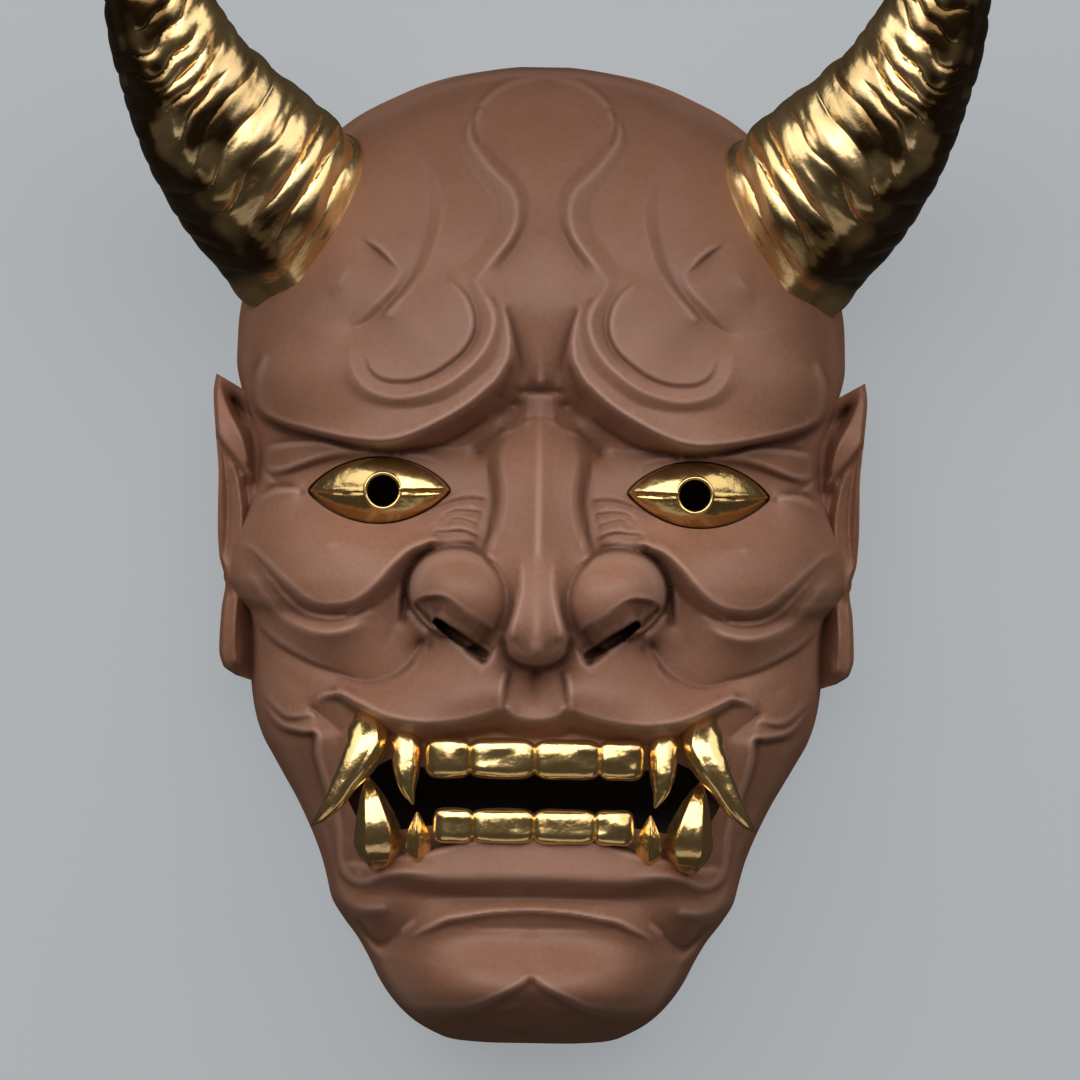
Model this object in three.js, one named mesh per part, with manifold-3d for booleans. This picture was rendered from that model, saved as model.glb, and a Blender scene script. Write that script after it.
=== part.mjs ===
import * as THREE from 'three';
import Module from 'manifold-3d';
import { mergeVertices } from 'three/addons/utils/BufferGeometryUtils.js';

// Oni mask: a carved demon face with a plain hollow back, two gilt horns, gilt eye plates and gilt teeth.
// It lies on its flat back rim at z = 0 and looks up along +Z. Crown and horns are at +Y. Millimetres.
//
// The face is laid out on a flat pattern (u = distance from the face axis, v = up the face), and
// narrows a little with height: x = u * (1 - z / TAPER), y = v * (1 - z / TAPER).

// ---- driving sizes ----
const TAPER = 1400;
const CROWN_V = 108.9;      // top of the head on the pattern
const CHIN_V = -115.9;      // bottom of the chin
const EDGE_Z = 12;          // height of the plain straight side above the back rim
const WALL = 5;             // wood thickness at the sides
const FRONT_WALL = 6;       // and behind the carving
const DOME = 3.1;           // how square the head is across
const FINE = 1.3;           // narrowest carved edge in these faceted solids
const GAP = 0.35;           // air left between wood and gilt pieces
const EYE_U = 35.9;         // pupil centre
const EYE_V = 10.8;
const PUPIL_R = 3.6;
const EYE_HALF = 16.1;      // half the length of the almond
const GUM_ROW = -57.5;      // the teeth follow the curve of the face across this line
const GUM_DROP = 1.6;
const EYE_DROP = 4.6;       // the eye beds lie this far under the plain dome
const HORN_R = 21.4;        // horn radius at its base
const HEAD_COLS = 34;
const HEAD_ROWS = 50;

// ---- side outline (v, half width) and height of the face axis (v, z) ----
const OUTLINE = [[CROWN_V, 0], [108.6, 7.4], [105.8, 23], [101.2, 34.7], [90.9, 50.1], [75.9, 61], [57.5, 68.3],
  [40.2, 69.9], [25.3, 66.5], [13.8, 66.2], [-3.5, 72], [-9.2, 72.2], [-17.9, 66.5], [-32.2, 65.5], [-46, 62.6],
  [-59.8, 54.7], [-78.2, 47.4], [-87.4, 43.5], [-101.2, 35.1], [-110.4, 27.4], [-115, 17.9], [CHIN_V, 0]];
const MIDLINE = [[CROWN_V, 12], [104.7, 31], [89.7, 51], [78.2, 59.5], [64.4, 66.5], [50.6, 70], [36.8, 70.5],
  [20.7, 68.5], [-13.8, 68], [-32.2, 70], [-46, 70], [-59.8, 68], [-82.8, 65.5], [-102.4, 65], [-107, 62],
  [-112.7, 43], [-115.7, 16], [CHIN_V, 12]];

// ---- carving: each entry is a mass, a fold line or a raised panel on the pattern ----
// blob and ell are rounded masses; step is an overlapping fold (raised on the side point's side);
// groove is a straight-sided ridge (h > 0) or cut (h < 0); plate and level are panels; prism is the nose.
const CARVING = [
  { is: 'blob', of: 'brow_mass', at: [35.8, 35.1], ru: 25.3, rv: 14.26, turn: -10, h: 7 },
  { is: 'blob', of: 'brow_inner', at: [17.5, 38.8], ru: 8.74, rv: 12.65, turn: 0, h: 5 },
  { is: 'blob', of: 'socket', at: [35.5, 13.7], ru: 21.16, rv: 8.28, turn: 4, h: -5 },
  { is: 'blob', of: 'socket_in', at: [15.9, 15.9], ru: 9.2, rv: 9.66, turn: 0, h: -6 },
  { is: 'blob', of: 'temple_pit', at: [67.9, 42.6], ru: 4.6, rv: 13.8, turn: 0, h: -3 },
  { is: 'blob', of: 'cheek', at: [49, -5.4], ru: 18.4, rv: 9.2, turn: 12, h: 5 },
  { is: 'blob', of: 'cheek_in', at: [31.6, -14.3], ru: 9.2, rv: 11.5, turn: 20, h: -2 },
  { is: 'blob', of: 'muzzle', at: [22, -36], ru: 18.4, rv: 8.28, turn: 8, h: 6 },
  { is: 'blob', of: 'jaw_hollow', at: [43.1, -83.5], ru: 9.2, rv: 13.8, turn: -30, h: -2 },
  { is: 'blob', of: 'valley', at: [0.7, 40.2], ru: 3.68, rv: 10.58, turn: 0, h: -7 },
  { is: 'blob', of: 'gully', at: [9.2, 26.3], ru: 6.9, rv: 3.68, turn: -25, h: -4 },
  { is: 'step', of: 'lobe_top', line: [[6.5, 105.5], [10.4, 103.8], [14.3, 100.5], [15.8, 96.4], [14.6, 91.8], [10.2, 87.3]], side: [1.1, 98.9], up: 0.9, upW: 6, down: 1.2, downW: 3.5, t0: 0.12, t1: 0.4 },
  { is: 'groove', of: 's_band', line: [[16.3, 99.1], [17.4, 94.5], [16.2, 90.4], [12.2, 85.2], [7.5, 80.6], [6.1, 75.8], [7.4, 69.8], [12.3, 63.3], [15.9, 58.6]], side: [0.8, 78.2], h: 1.9, wl: [2, 3, 3.2, 3, 2.5], wr: [3, 4.5, 4.2, 5, 6], t0: 0.25, t1: 0.05 },
  { is: 'groove', of: 'leaf', line: [[29.3, 88.8], [27.1, 81.7], [26.7, 72.7], [30.2, 60.3], [34.7, 54.2], [39.3, 50], [43.6, 47.9]], side: [37.5, 68.4], h: -1.7, wl: [1.2, 1.8, 1.6, 1.2], wr: [2.5, 3.2, 3.2, 3], t0: 0.2, t1: 0.15 },
  { is: 'plate', of: 'knob', line: [[28.2, 61.2], [20.1, 59.7], [17, 55.2], [15.1, 51.1], [16.2, 45.8], [20.3, 41.1], [25.5, 37.8], [33.3, 35.8], [38.8, 38.5], [44, 43], [44.1, 52.2], [37.3, 59.2]], h: 2.8, w: 9, round: 1, fade: [43, 54.5, 28, 47.9] },
  { is: 'groove', of: 'crest', line: [[15.5, 58.7], [11.4, 51.4], [11.1, 46.8], [13.6, 41.9], [17.9, 37.4], [25.4, 33.2], [33, 31.9], [39, 33.4], [42.5, 36.6], [43.9, 40.7]], side: [28, 49], h: [2.6, 2.6, 2.2, 1.8], wl: [3.6, 3.6, 3.8, 3.6, 3], wr: [1.8, 2.2, 3, 4, 4], t0: 0.12, t1: 0.25 },
  { is: 'step', of: 'flange', line: [[12.5, 59.6], [9.1, 51.4], [7.4, 43.6], [11.4, 35.5], [20.1, 28.7], [30.6, 23.2], [41.1, 22.1], [50.6, 23.4], [59.8, 26.2], [65.4, 29.8], [66.1, 33], [64.6, 39.7]], side: [27.8, 36.4], up: [0.5, 1, 1.4, 2.2, 2.2, 2, 1.5], upW: [3, 3, 5, 7, 7], down: [1, 3, 6, 8, 9, 8, 6, 4], downW: [4, 4, 6, 7, 8, 7, 6], t0: 0.1, t1: 0.2 },
  { is: 'step', of: 'brow_side', line: [[8.7, 51.9], [5.6, 45.2], [4.1, 38.8], [4, 34]], side: [11.8, 43.5], up: 0.6, upW: 4, down: 2.2, downW: 4, t0: 0.3, t1: 0.1 },
  { is: 'step', of: 'valley_lip', line: [[5.6, 34], [2.4, 33.6], [-1.5, 33.6], [-4.9, 34.1]], side: [0.7, 41.4], up: 3.2, upW: 8, down: 2.5, downW: 5, t0: 0.2, t1: 0.2 },
  { is: 'step', of: 'lid_edge', line: [[64.7, 16], [58.5, 15.2], [51.2, 17.8], [43.4, 19.3], [35.6, 19.9]], side: [55.1, 18], up: 0.8, upW: 4, down: 1.6, downW: 4, t0: 0.1, t1: 0.4 },
  { is: 'level', of: 'eye_bed', line: [[55.9, 10.6], [53.2, 15.3], [47, 18.4], [38.1, 19.6], [29.8, 18.2], [23.7, 14.6], [19.1, 9.8], [23.6, 6.1], [29.1, 3.2], [36.7, 1.3], [44.5, 2.3], [51.2, 5.4]], h: -4.6, w: 3, round: 0, row: 10.81 },
  { is: 'step', of: 'lower_lid', line: [[67.3, 5.4], [65.5, 7.9], [61.2, 10.5], [53.8, 10.9]], side: [57.2, 3.7], up: 1.2, upW: 5, down: 1.8, downW: 3, t0: 0.05, t1: 0.3 },
  { is: 'step', of: 'c1', line: [[71.8, -1.6], [66.3, -2.6], [60.4, -8.1], [52.3, -14.9], [44.2, -15.2], [36.7, -10.2], [31.7, -4.6], [25.6, -0.9], [21.9, -0.3]], side: [47.8, -5.4], up: [0.4, 1, 1.6, 1.4, 0.8], upW: [4, 6, 7, 6, 5], down: [0.8, 1.2, 1.6, 1.6, 1.2], downW: [2, 2.4, 2.6, 3], t0: 0.03, t1: 0.15 },
  { is: 'step', of: 'c4', line: [[71.4, -12.2], [66, -18.7], [59.7, -24.2], [52.1, -28.4], [44.4, -31.1], [37.7, -33], [32.2, -31.1], [27.9, -26.9], [25.7, -20.6]], side: [47.5, -23.8], up: [1.2, 2, 2.6, 2.4, 1.6], upW: [5, 7, 7, 6, 4], down: [3, 4, 4.5, 4, 3], downW: [4, 5, 6, 7, 7], t0: 0.03, t1: 0.15 },
  { is: 'prism', of: 'nose', rows: [[29.44, 1.38, 66, 3.22, 62], [27.37, 3.22, 76, 5.06, 70], [23.92, 6.44, 79, 9.66, 66], [20.47, 7.82, 80.5, 13.11, 63], [17.48, 8.05, 81.5, 12.65, 62], [12.65, 8.28, 82.5, 10.81, 63], [6.67, 9.66, 84, 14.26, 64], [1.15, 10.58, 87, 17.48, 65], [-4.6, 10.12, 90, 16.1, 67], [-11.5, 6.9, 95, 11.5, 72], [-18.4, 5.06, 97, 9.2, 76], [-24.15, 4.6, 95, 7.82, 74], [-28.06, 2.76, 86, 5.52, 72]] },
  { is: 'ell', of: 'wing', at: [17.6, -12.2], ru: 11.96, rv: 10.58, turn: 0, z0: 58, h: 27 },
  { is: 'groove', of: 'nostril', line: [[24.6, -19.2], [19.3, -21.2], [14.2, -24.6], [9.5, -26.8]], side: [15.5, -14], h: -9, wl: 2.6, wr: 2.6, t0: 0.25, t1: 0.25 },
  { is: 'step', of: 'lip_up', line: [[48.5, -36.9], [43.9, -36.6], [38.8, -39.3], [31.1, -41.9], [24.9, -42.5], [17.3, -41.7], [11.4, -40], [7.7, -39], [4.9, -40.8], [-1.1, -41.4]], side: [24.3, -37.2], up: [0.4, 1.2, 2.4, 2.4, 2], upW: [3, 5, 7, 7], down: [2, 6, 9, 10], downW: [4, 6, 9, 9], t0: 0.05, t1: 0 },
  { is: 'step', of: 'l3', line: [[64.6, -37.1], [60.6, -41.7], [55.9, -44.8], [50.7, -45], [49.9, -49.6], [48.6, -56], [47.4, -62.9], [46.4, -67.4]], side: [56, -41.1], up: [0.6, 0.8, 0.8], upW: 3, down: [1.2, 1.2, 1.4, 1.6], downW: 3, t0: 0.05, t1: 0.12 },
  { is: 'step', of: 'liplow_top', line: [[44.9, -76.2], [37.8, -74.7], [30.7, -72.9], [21.5, -71.2], [12.3, -68.5], [-1.5, -68.1]], side: [21.4, -75.1], up: [1.5, 2, 2.2], upW: 5, down: [4, 6, 7], downW: 8, t0: 0.1, t1: 0 },
  { is: 'step', of: 'liplow_bot', line: [[44.9, -74.8], [43.2, -77.3], [39.1, -79.5], [34, -77.8], [29.4, -77.3], [22.5, -78.3], [12.2, -78.6], [-1.6, -78.4]], side: [21.4, -74.4], up: [1, 2, 2.4, 2.4], upW: 5, down: [1.5, 3, 4, 4], downW: [5, 7, 8], t0: 0.1, t1: 0 },
  { is: 'groove', of: 'chin_groove', line: [[27.8, -92.5], [23.5, -90.3], [17.8, -87.9], [11.6, -86.5], [-1.7, -85.3]], side: [19, -83.1], h: [-2.2, -2.4, -1.6, -1.2], wl: 1.2, wr: [4, 5, 5, 4], t0: 0.12, t1: 0 },
  { is: 'groove', of: 'jaw_crest', line: [[47.1, -79], [44.3, -83.3], [41.5, -85.1], [37.8, -85.3]], side: [43.2, -80], h: 1.4, wl: 5, wr: 3, t0: 0.1, t1: 0.4 },
  { is: 'groove', of: 'jaw_v', line: [[41.5, -88.1], [38.2, -91.2], [35.2, -93.5], [31.5, -90.9], [27.2, -87.2]], side: [33.9, -85.7], h: -2.2, wl: 4, wr: 3, t0: 0.2, t1: 0.2 },
  { is: 'blob', of: 'chin_ball', at: [9.6, -97.9], ru: 17.25, rv: 8.74, turn: -6, h: 5 },
  { is: 'step', of: 'chin_edge', line: [[32.9, -105.9], [29.2, -107.7], [21.1, -109.1], [13.3, -107.6], [5.3, -103.8], [-0.1, -99.4]], side: [18.7, -101.5], up: 1.4, upW: 7, down: 3, downW: 8, t0: 0.1, t1: 0 },
  { is: 'groove', of: 'chin_mid', line: [[-0.4, -88.6], [0, -94.3], [0.1, -99.8]], side: [7.3, -94.4], h: -1.2, wl: 4, wr: 3, t0: 0.3, t1: 0 },
  { is: 'level', of: 'mouth', line: [[45.4, -45.6], [42.2, -42.5], [35.7, -42.9], [26.5, -46], [12.7, -44.8], [-2.3, -44.8], [-2.6, -69.4], [7.7, -69.6], [21.5, -72.1], [30.6, -74.6], [39.8, -75.6], [42.2, -69.7], [42.4, -60.5], [47.1, -51.4]], h: -1.6, w: 4, round: 0, row: -57.5 },
];

const clamp = (x, a, b) => Math.min(b, Math.max(a, x));
const smooth = (x, a, b) => { const t = clamp((x - a) / (b - a), 0, 1); return t * t * (3 - 2 * t); };

// Smooth curve through (x, y) stations, without overshoot.
function through(stations) {
  const s = [...stations].sort((p, q) => p[0] - q[0]);
  const n = s.length, h = [], d = [], m = [];
  for (let i = 0; i < n - 1; i++) { h[i] = s[i + 1][0] - s[i][0]; d[i] = (s[i + 1][1] - s[i][1]) / h[i]; }
  for (let i = 0; i < n; i++) {
    if (i === 0) m[i] = d[0];
    else if (i === n - 1) m[i] = d[n - 2];
    else if (d[i - 1] * d[i] <= 0) m[i] = 0;
    else {
      const w1 = 2 * h[i] + h[i - 1], w2 = h[i] + 2 * h[i - 1];
      m[i] = (w1 + w2) / (w1 / d[i - 1] + w2 / d[i]);
    }
  }
  return (x) => {
    x = clamp(x, s[0][0], s[n - 1][0]);
    let i = 0;
    while (i < n - 2 && x > s[i + 1][0]) i++;
    const t = (x - s[i][0]) / h[i], t2 = t * t, t3 = t2 * t;
    return (2 * t3 - 3 * t2 + 1) * s[i][1] + (t3 - 2 * t2 + t) * h[i] * m[i]
      + (-2 * t3 + 3 * t2) * s[i + 1][1] + (t3 - t2) * h[i] * m[i + 1];
  };
}
const halfWidth = through(OUTLINE);
const axisHeight = through(MIDLINE);

function spline(points, closed) {
  const n = points.length, at = (i) => {
    if (closed) return points[(i + n) % n];
    if (i < 0) return [2 * points[0][0] - points[1][0], 2 * points[0][1] - points[1][1]];
    if (i >= n) return [2 * points[n - 1][0] - points[n - 2][0], 2 * points[n - 1][1] - points[n - 2][1]];
    return points[i];
  };
  const out = [], spans = closed ? n : n - 1, cuts = 5;
  for (let i = 0; i < spans; i++) {
    const [a, b, c, d] = [at(i - 1), at(i), at(i + 1), at(i + 2)];
    for (let j = 0; j < cuts; j++) {
      const t = j / cuts;
      out.push([0, 1].map((k) => 0.5 * (2 * b[k] + (c[k] - a[k]) * t + (2 * a[k] - 5 * b[k] + 4 * c[k] - d[k]) * t * t
        + (-a[k] + 3 * b[k] - 3 * c[k] + d[k]) * t * t * t)));
    }
  }
  if (closed) out.push(out[0]); else out.push(points[n - 1]);
  return out;
}

// Signed distance to a polyline, where along it (0..1) and how far past its ends.
function nearest(line, u, v) {
  let best = Infinity, side = 1, where = 0, over = 0;
  const { pts, cum } = line, total = cum[cum.length - 1], last = pts.length - 2;
  for (let i = 0; i <= last; i++) {
    const [x0, y0] = pts[i], dx = pts[i + 1][0] - x0, dy = pts[i + 1][1] - y0;
    const len = Math.max(Math.hypot(dx, dy), 1e-9), rx = u - x0, ry = v - y0;
    const s = (rx * dx + ry * dy) / (len * len), c = clamp(s, 0, 1);
    const ex = rx - c * dx, ey = ry - c * dy, q = ex * ex + ey * ey;
    if (q < best - 1e-12) {
      best = q;
      side = dx * ry - dy * rx >= 0 ? 1 : -1;
      where = (cum[i] + c * len) / total;
      over = i === 0 && s < 0 ? -s * len : i === last && s > 1 ? (s - 1) * len : 0;
    }
  }
  return { d: Math.sqrt(best) * side, t: where, over };
}

function insideLoop(pts, u, v) {
  let inside = false;
  for (let i = 0; i < pts.length - 1; i++) {
    const [x1, y1] = pts[i], [x2, y2] = pts[i + 1];
    if ((y1 > v) !== (y2 > v) && u < (x2 - x1) * (v - y1) / (y2 - y1) + x1) inside = !inside;
  }
  return inside;
}

const varying = (value, t) => {
  if (typeof value === 'number') return value;
  const x = clamp(t, 0, 1) * (value.length - 1), i = Math.min(Math.floor(x), value.length - 2);
  return value[i] + (value[i + 1] - value[i]) * (x - i);
};
const widest = (value) => (typeof value === 'number' ? value : Math.max(...value));

for (const f of CARVING) {
  if (f.line) {
    const pts = spline(f.line, f.is === 'plate' || f.is === 'level'), cum = [0];
    for (let i = 1; i < pts.length; i++) cum.push(cum[i - 1] + Math.hypot(pts[i][0] - pts[i - 1][0], pts[i][1] - pts[i - 1][1]));
    f.curve = { pts, cum };
    const reach = f.is === 'step' ? 3.6 * Math.max(widest(f.upW), widest(f.downW))
      : f.is === 'groove' ? Math.max(widest(f.wl), widest(f.wr), 2 * FINE) + 1 : 0.1;
    const us = pts.map((p) => p[0]), vs = pts.map((p) => p[1]);
    f.box = [Math.min(...us) - reach, Math.max(...us) + reach, Math.min(...vs) - reach, Math.max(...vs) + reach];
    f.sign = f.side ? Math.sign(nearest(f.curve, f.side[0], f.side[1]).d) : 1;
  }
  if (f.is === 'prism') f.sections = [1, 2, 3, 4].map((k) => through(f.rows.map((r) => [r[0], r[k]])));
}

// Height of the plain dome under the carving, and of the carved face, above the back rim.
function domeHeight(u, v) {
  const w = Math.max(halfWidth(v), 1e-6), r = clamp(Math.abs(u) / w, 0, 1);
  return EDGE_Z + (axisHeight(v) - EDGE_Z) * Math.sqrt(Math.max(1 - Math.pow(r, DOME), 0));
}
function carved(uSigned, v) {
  const u = Math.abs(uSigned);
  let z = domeHeight(u, v);
  for (const f of CARVING) {
    if (f.is === 'blob' || f.is === 'ell') {
      const a = f.turn * Math.PI / 180, x = u - f.at[0], y = f.at[1] - v;
      const p = (x * Math.cos(a) + y * Math.sin(a)) / f.ru, q = (-x * Math.sin(a) + y * Math.cos(a)) / f.rv, s = p * p + q * q;
      if (f.is === 'blob') z += f.h * Math.exp(-s);
      else if (s < 1) z = Math.max(z, f.z0 + f.h * Math.sqrt(1 - s));
    } else if (f.is === 'prism') {
      const [frontW, frontZ, sideW, sideZ] = f.sections.map((g) => g(v));
      if (v < f.rows[0][0] && v > f.rows[f.rows.length - 1][0] && u < sideW) {
        z = Math.max(z, u < frontW ? frontZ - 0.6 * Math.pow(u / frontW, 1.5)
          : frontZ - 0.6 - (frontZ - 0.6 - sideZ) * (u - frontW) / Math.max(sideW - frontW, 1e-6));
      }
    } else {
      if (u < f.box[0] || u > f.box[1] || v < f.box[2] || v > f.box[3]) continue;
      const near = nearest(f.curve, u, v), d = near.d * f.sign, t = near.t;
      if (f.is === 'plate' || f.is === 'level') {
        if (!insideLoop(f.curve.pts, u, v)) continue;
        const x = clamp(Math.abs(d) / Math.max(f.w, FINE), 0, 1);
        let s = f.round ? Math.sqrt(1 - (1 - x) * (1 - x)) : x * x * (3 - 2 * x);
        if (f.fade) {
          const [a, b, c, e] = f.fade, du = c - a, dv = e - b;
          s *= smooth(((u - a) * du + (v - b) * dv) / (du * du + dv * dv), 0, 1);
        }
        z += f.is === 'plate' ? f.h * s : (f.h + domeHeight(u, f.row) - z) * s;
        continue;
      }
      let k = 1 - smooth(near.over, 0, 2);
      if (f.t0 > 0) k *= smooth(t, 0, f.t0);
      if (f.t1 > 0) k *= smooth(1 - t, 0, f.t1);
      if (f.is === 'step') {
        const s = smooth(d, -FINE, FINE);
        z += k * (s * varying(f.up, t) * Math.exp(-Math.max(d, 0) / varying(f.upW, t))
          - (1 - s) * varying(f.down, t) * Math.exp(-Math.max(-d, 0) / varying(f.downW, t)));
      } else {
        const width = Math.max(varying(d > 0 ? f.wl : f.wr, t), 2 * FINE);
        z += k * varying(f.h, t) * Math.max(1 - (Math.sqrt(d * d + 0.04) - 0.2) / width, 0);
      }
    }
  }
  return Math.max(z, EDGE_Z);
}
// The same, rounded over a little so that the facets follow the folds.
function faceHeight(uSigned, v) {
  const r = 1.1, u = Math.abs(uSigned);
  return (2 * carved(u, v) + carved(u + r, v) + carved(u - r, v) + carved(u, Math.min(v + r, CROWN_V)) + carved(u, Math.max(v - r, CHIN_V))) / 6;
}

const place = (u, v, z) => {
  const k = 1 - z / TAPER;
  return [u * k, v * k, z];
};

// ---- solids ----
const wasm = await Module();
wasm.setup();

function geometry(vertices, triangles) {
  const g = new THREE.BufferGeometry();
  g.setAttribute('position', new THREE.Float32BufferAttribute(vertices.flat(), 3));
  g.setIndex(triangles.flat());
  return g;
}
function solid(g) {
  let clean = g.clone();
  for (const name of Object.keys(clean.attributes)) if (name !== 'position') clean.deleteAttribute(name);
  clean = mergeVertices(clean, 1e-4);
  return new wasm.Manifold(new wasm.Mesh({
    numProp: 3,
    vertProperties: new Float32Array(clean.attributes.position.array),
    triVerts: new Uint32Array(clean.index.array),
  }));
}
function back(manifold) {
  const m = manifold.getMesh(), g = new THREE.BufferGeometry();
  const p = new Float32Array(m.numVert * 3);
  for (let i = 0; i < m.numVert; i++) for (let k = 0; k < 3; k++) p[3 * i + k] = m.vertProperties[i * m.numProp + k];
  g.setAttribute('position', new THREE.BufferAttribute(p, 3));
  g.setIndex([...m.triVerts]);
  return g;
}

// A relief block: a grid of (row, column) points for its top, over an underside that spans from edge to edge.
function reliefBlock(rows, cols, top, floorZ, ribbed = false) {
  const v = [], t = [], w = cols + 1, up = (i, j) => i * w + j;
  const under = (p) => [p[0], p[1], typeof floorZ === 'number' ? floorZ : floorZ(p[0])];
  for (let i = 0; i <= rows; i++) for (let j = 0; j <= cols; j++) v.push(top(i, j));
  const id = new Map();
  const low = (i, j) => {
    const key = i * w + j;
    if (!id.has(key)) { id.set(key, v.length); v.push(under(v[up(i, j)])); }
    return id.get(key);
  };
  for (let i = 0; i < rows; i++) for (let j = 0; j < cols; j++) {
    if (j < cols / 2) t.push([up(i, j), up(i + 1, j), up(i + 1, j + 1)], [up(i, j), up(i + 1, j + 1), up(i, j + 1)]);
    else t.push([up(i, j), up(i + 1, j), up(i, j + 1)], [up(i, j + 1), up(i + 1, j), up(i + 1, j + 1)]);
  }
  for (let j = 0; j < cols; j++) {
    t.push([up(0, j), low(0, j + 1), low(0, j)], [up(0, j), up(0, j + 1), low(0, j + 1)]);
    t.push([up(rows, j), low(rows, j), low(rows, j + 1)], [up(rows, j), low(rows, j + 1), up(rows, j + 1)]);
  }
  for (let i = 0; i < rows; i++) {
    t.push([up(i, 0), low(i, 0), low(i + 1, 0)], [up(i, 0), low(i + 1, 0), up(i + 1, 0)]);
    t.push([up(i, cols), low(i + 1, cols), low(i, cols)], [up(i, cols), up(i + 1, cols), low(i + 1, cols)]);
    if (!ribbed && i > 0 && i < rows - 1) t.push([low(i, 0), low(i + 1, cols), low(i + 1, 0)], [low(i, 0), low(i, cols), low(i + 1, cols)]);
  }
  if (ribbed) {
    for (let i = 0; i < rows; i++) for (let j = 0; j < cols; j++) {
      t.push([low(i, j), low(i + 1, j + 1), low(i + 1, j)], [low(i, j), low(i, j + 1), low(i + 1, j + 1)]);
    }
    return solid(geometry(v, t));
  }
  // The first and last strips fan out to every point of the end rows.
  for (let j = 0; j < cols; j++) {
    t.push([low(0, j), low(0, j + 1), low(1, 0)]);
    t.push([low(rows, j + 1), low(rows, j), low(rows - 1, cols)]);
  }
  t.push([low(0, cols), low(1, cols), low(1, 0)], [low(rows, 0), low(rows - 1, 0), low(rows - 1, cols)]);
  return solid(geometry(v, t));
}

// A straight-sided cutter through a closed loop on the pattern, tapering with height like the face.
function cutter(loop, z0, z1) {
  const n = loop.length, v = [], t = [];
  for (const z of [z0, z1]) for (const [u, w] of loop) v.push(place(-u, w, typeof z === 'number' ? z : z(u)));
  const area = loop.reduce((s, p, i) => { const q = loop[(i + 1) % n]; return s + (-p[0]) * q[1] - (-q[0]) * p[1]; }, 0);
  const shape = loop.map(([u, w]) => new THREE.Vector2(-u, w));
  const faces = THREE.ShapeUtils.triangulateShape(shape, []);
  for (const f of faces) {
    const [a, b, c] = f, s = (shape[b].x - shape[a].x) * (shape[c].y - shape[a].y) - (shape[b].y - shape[a].y) * (shape[c].x - shape[a].x);
    const [p, q, r] = s > 0 ? [a, b, c] : [a, c, b];
    t.push([p + n, q + n, r + n], [p, r, q]);
  }
  for (let i = 0; i < n; i++) {
    const j = (i + 1) % n;
    if (area > 0) t.push([i, j, j + n], [i, j + n, i + n]); else t.push([i, j + n, j], [i, i + n, j + n]);
  }
  return solid(geometry(v, t));
}

// ---- the head block, with ears, then hollowed ----
// Rows and columns lie closer together over the features and at the steep edges.
const rowSpread = through([[0, CROWN_V - 0.12], [0.03, 107.2], [0.08, 100], [0.2, 64], [0.3, 42], [0.86, -92], [0.94, -108], [0.98, -114.6], [1, CHIN_V + 0.12]]);
const colSpread = through([[0, 0], [0.3, 0.22], [0.5, 0.41], [0.7, 0.64], [0.85, 0.85], [0.94, 0.965], [1, 1]]);
const headRow = (i, rows) => rowSpread(i / rows);
const across = (j, cols) => {
  const e = 1 - 2 * j / cols;
  return Math.sign(e) * colSpread(Math.abs(e));
};
const head = reliefBlock(HEAD_ROWS, HEAD_COLS, (i, j) => {
  const v = headRow(i, HEAD_ROWS), w = halfWidth(v), u = w * across(j, HEAD_COLS);
  const edge = j === 0 || j === HEAD_COLS || i === 0 || i === HEAD_ROWS;
  return place(-u, v, edge ? EDGE_Z : faceHeight(u, v));
}, 0);

// Ear: a flat carved leaf behind the cheek, hollowed down its middle, with a raised rim and a round lobe.
const EAR_OUT = through([[37.2, 74.6], [33, 75.2], [24, 74.6], [14, 73.8], [4, 73.8], [-4, 73.4], [-11, 71.8],
  [-17, 72.6], [-26, 73], [-30, 72], [-32.2, 69]]);
const EAR_TOP = 37.2, EAR_LOW = -32.2, EAR_IN = 58, EAR_BACK = 13;
const earHeight = (s, v) => {
  const rise = 25 + 5 * smooth(v, 34, 5) - 6 * smooth(v, -12, -32);
  const rim = 2.6 * Math.exp(-Math.pow((s - 0.9) / 0.10, 2)), bowl = -4 * Math.exp(-Math.pow((s - 0.72) / 0.16, 2)) * smooth(v, -20, -8);
  return rise + rim + bowl + 6 * (1 - s) - 5 * smooth(s, 0.92, 1.0);
};
function ear(side) {
  const rows = 12, cols = 6;
  return reliefBlock(rows, cols, (i, j) => {
    const v = EAR_TOP + (EAR_LOW - EAR_TOP) * (0.5 - 0.5 * Math.cos(Math.PI * i / rows)) * 0.998 - 0.05;
    const s = side < 0 ? 1 - j / cols : j / cols;
    const out = EAR_OUT(v), u = EAR_IN + (out - EAR_IN) * s;
    const slant = 9.5 * smooth(v, 20, 37) + 3.5 * smooth(v, -26, -32);
    return place(side * u, v - slant * (1 - s), earHeight(s, v));
  }, EAR_BACK);
}
let shell = head.add(ear(-1)).add(ear(1));

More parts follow.
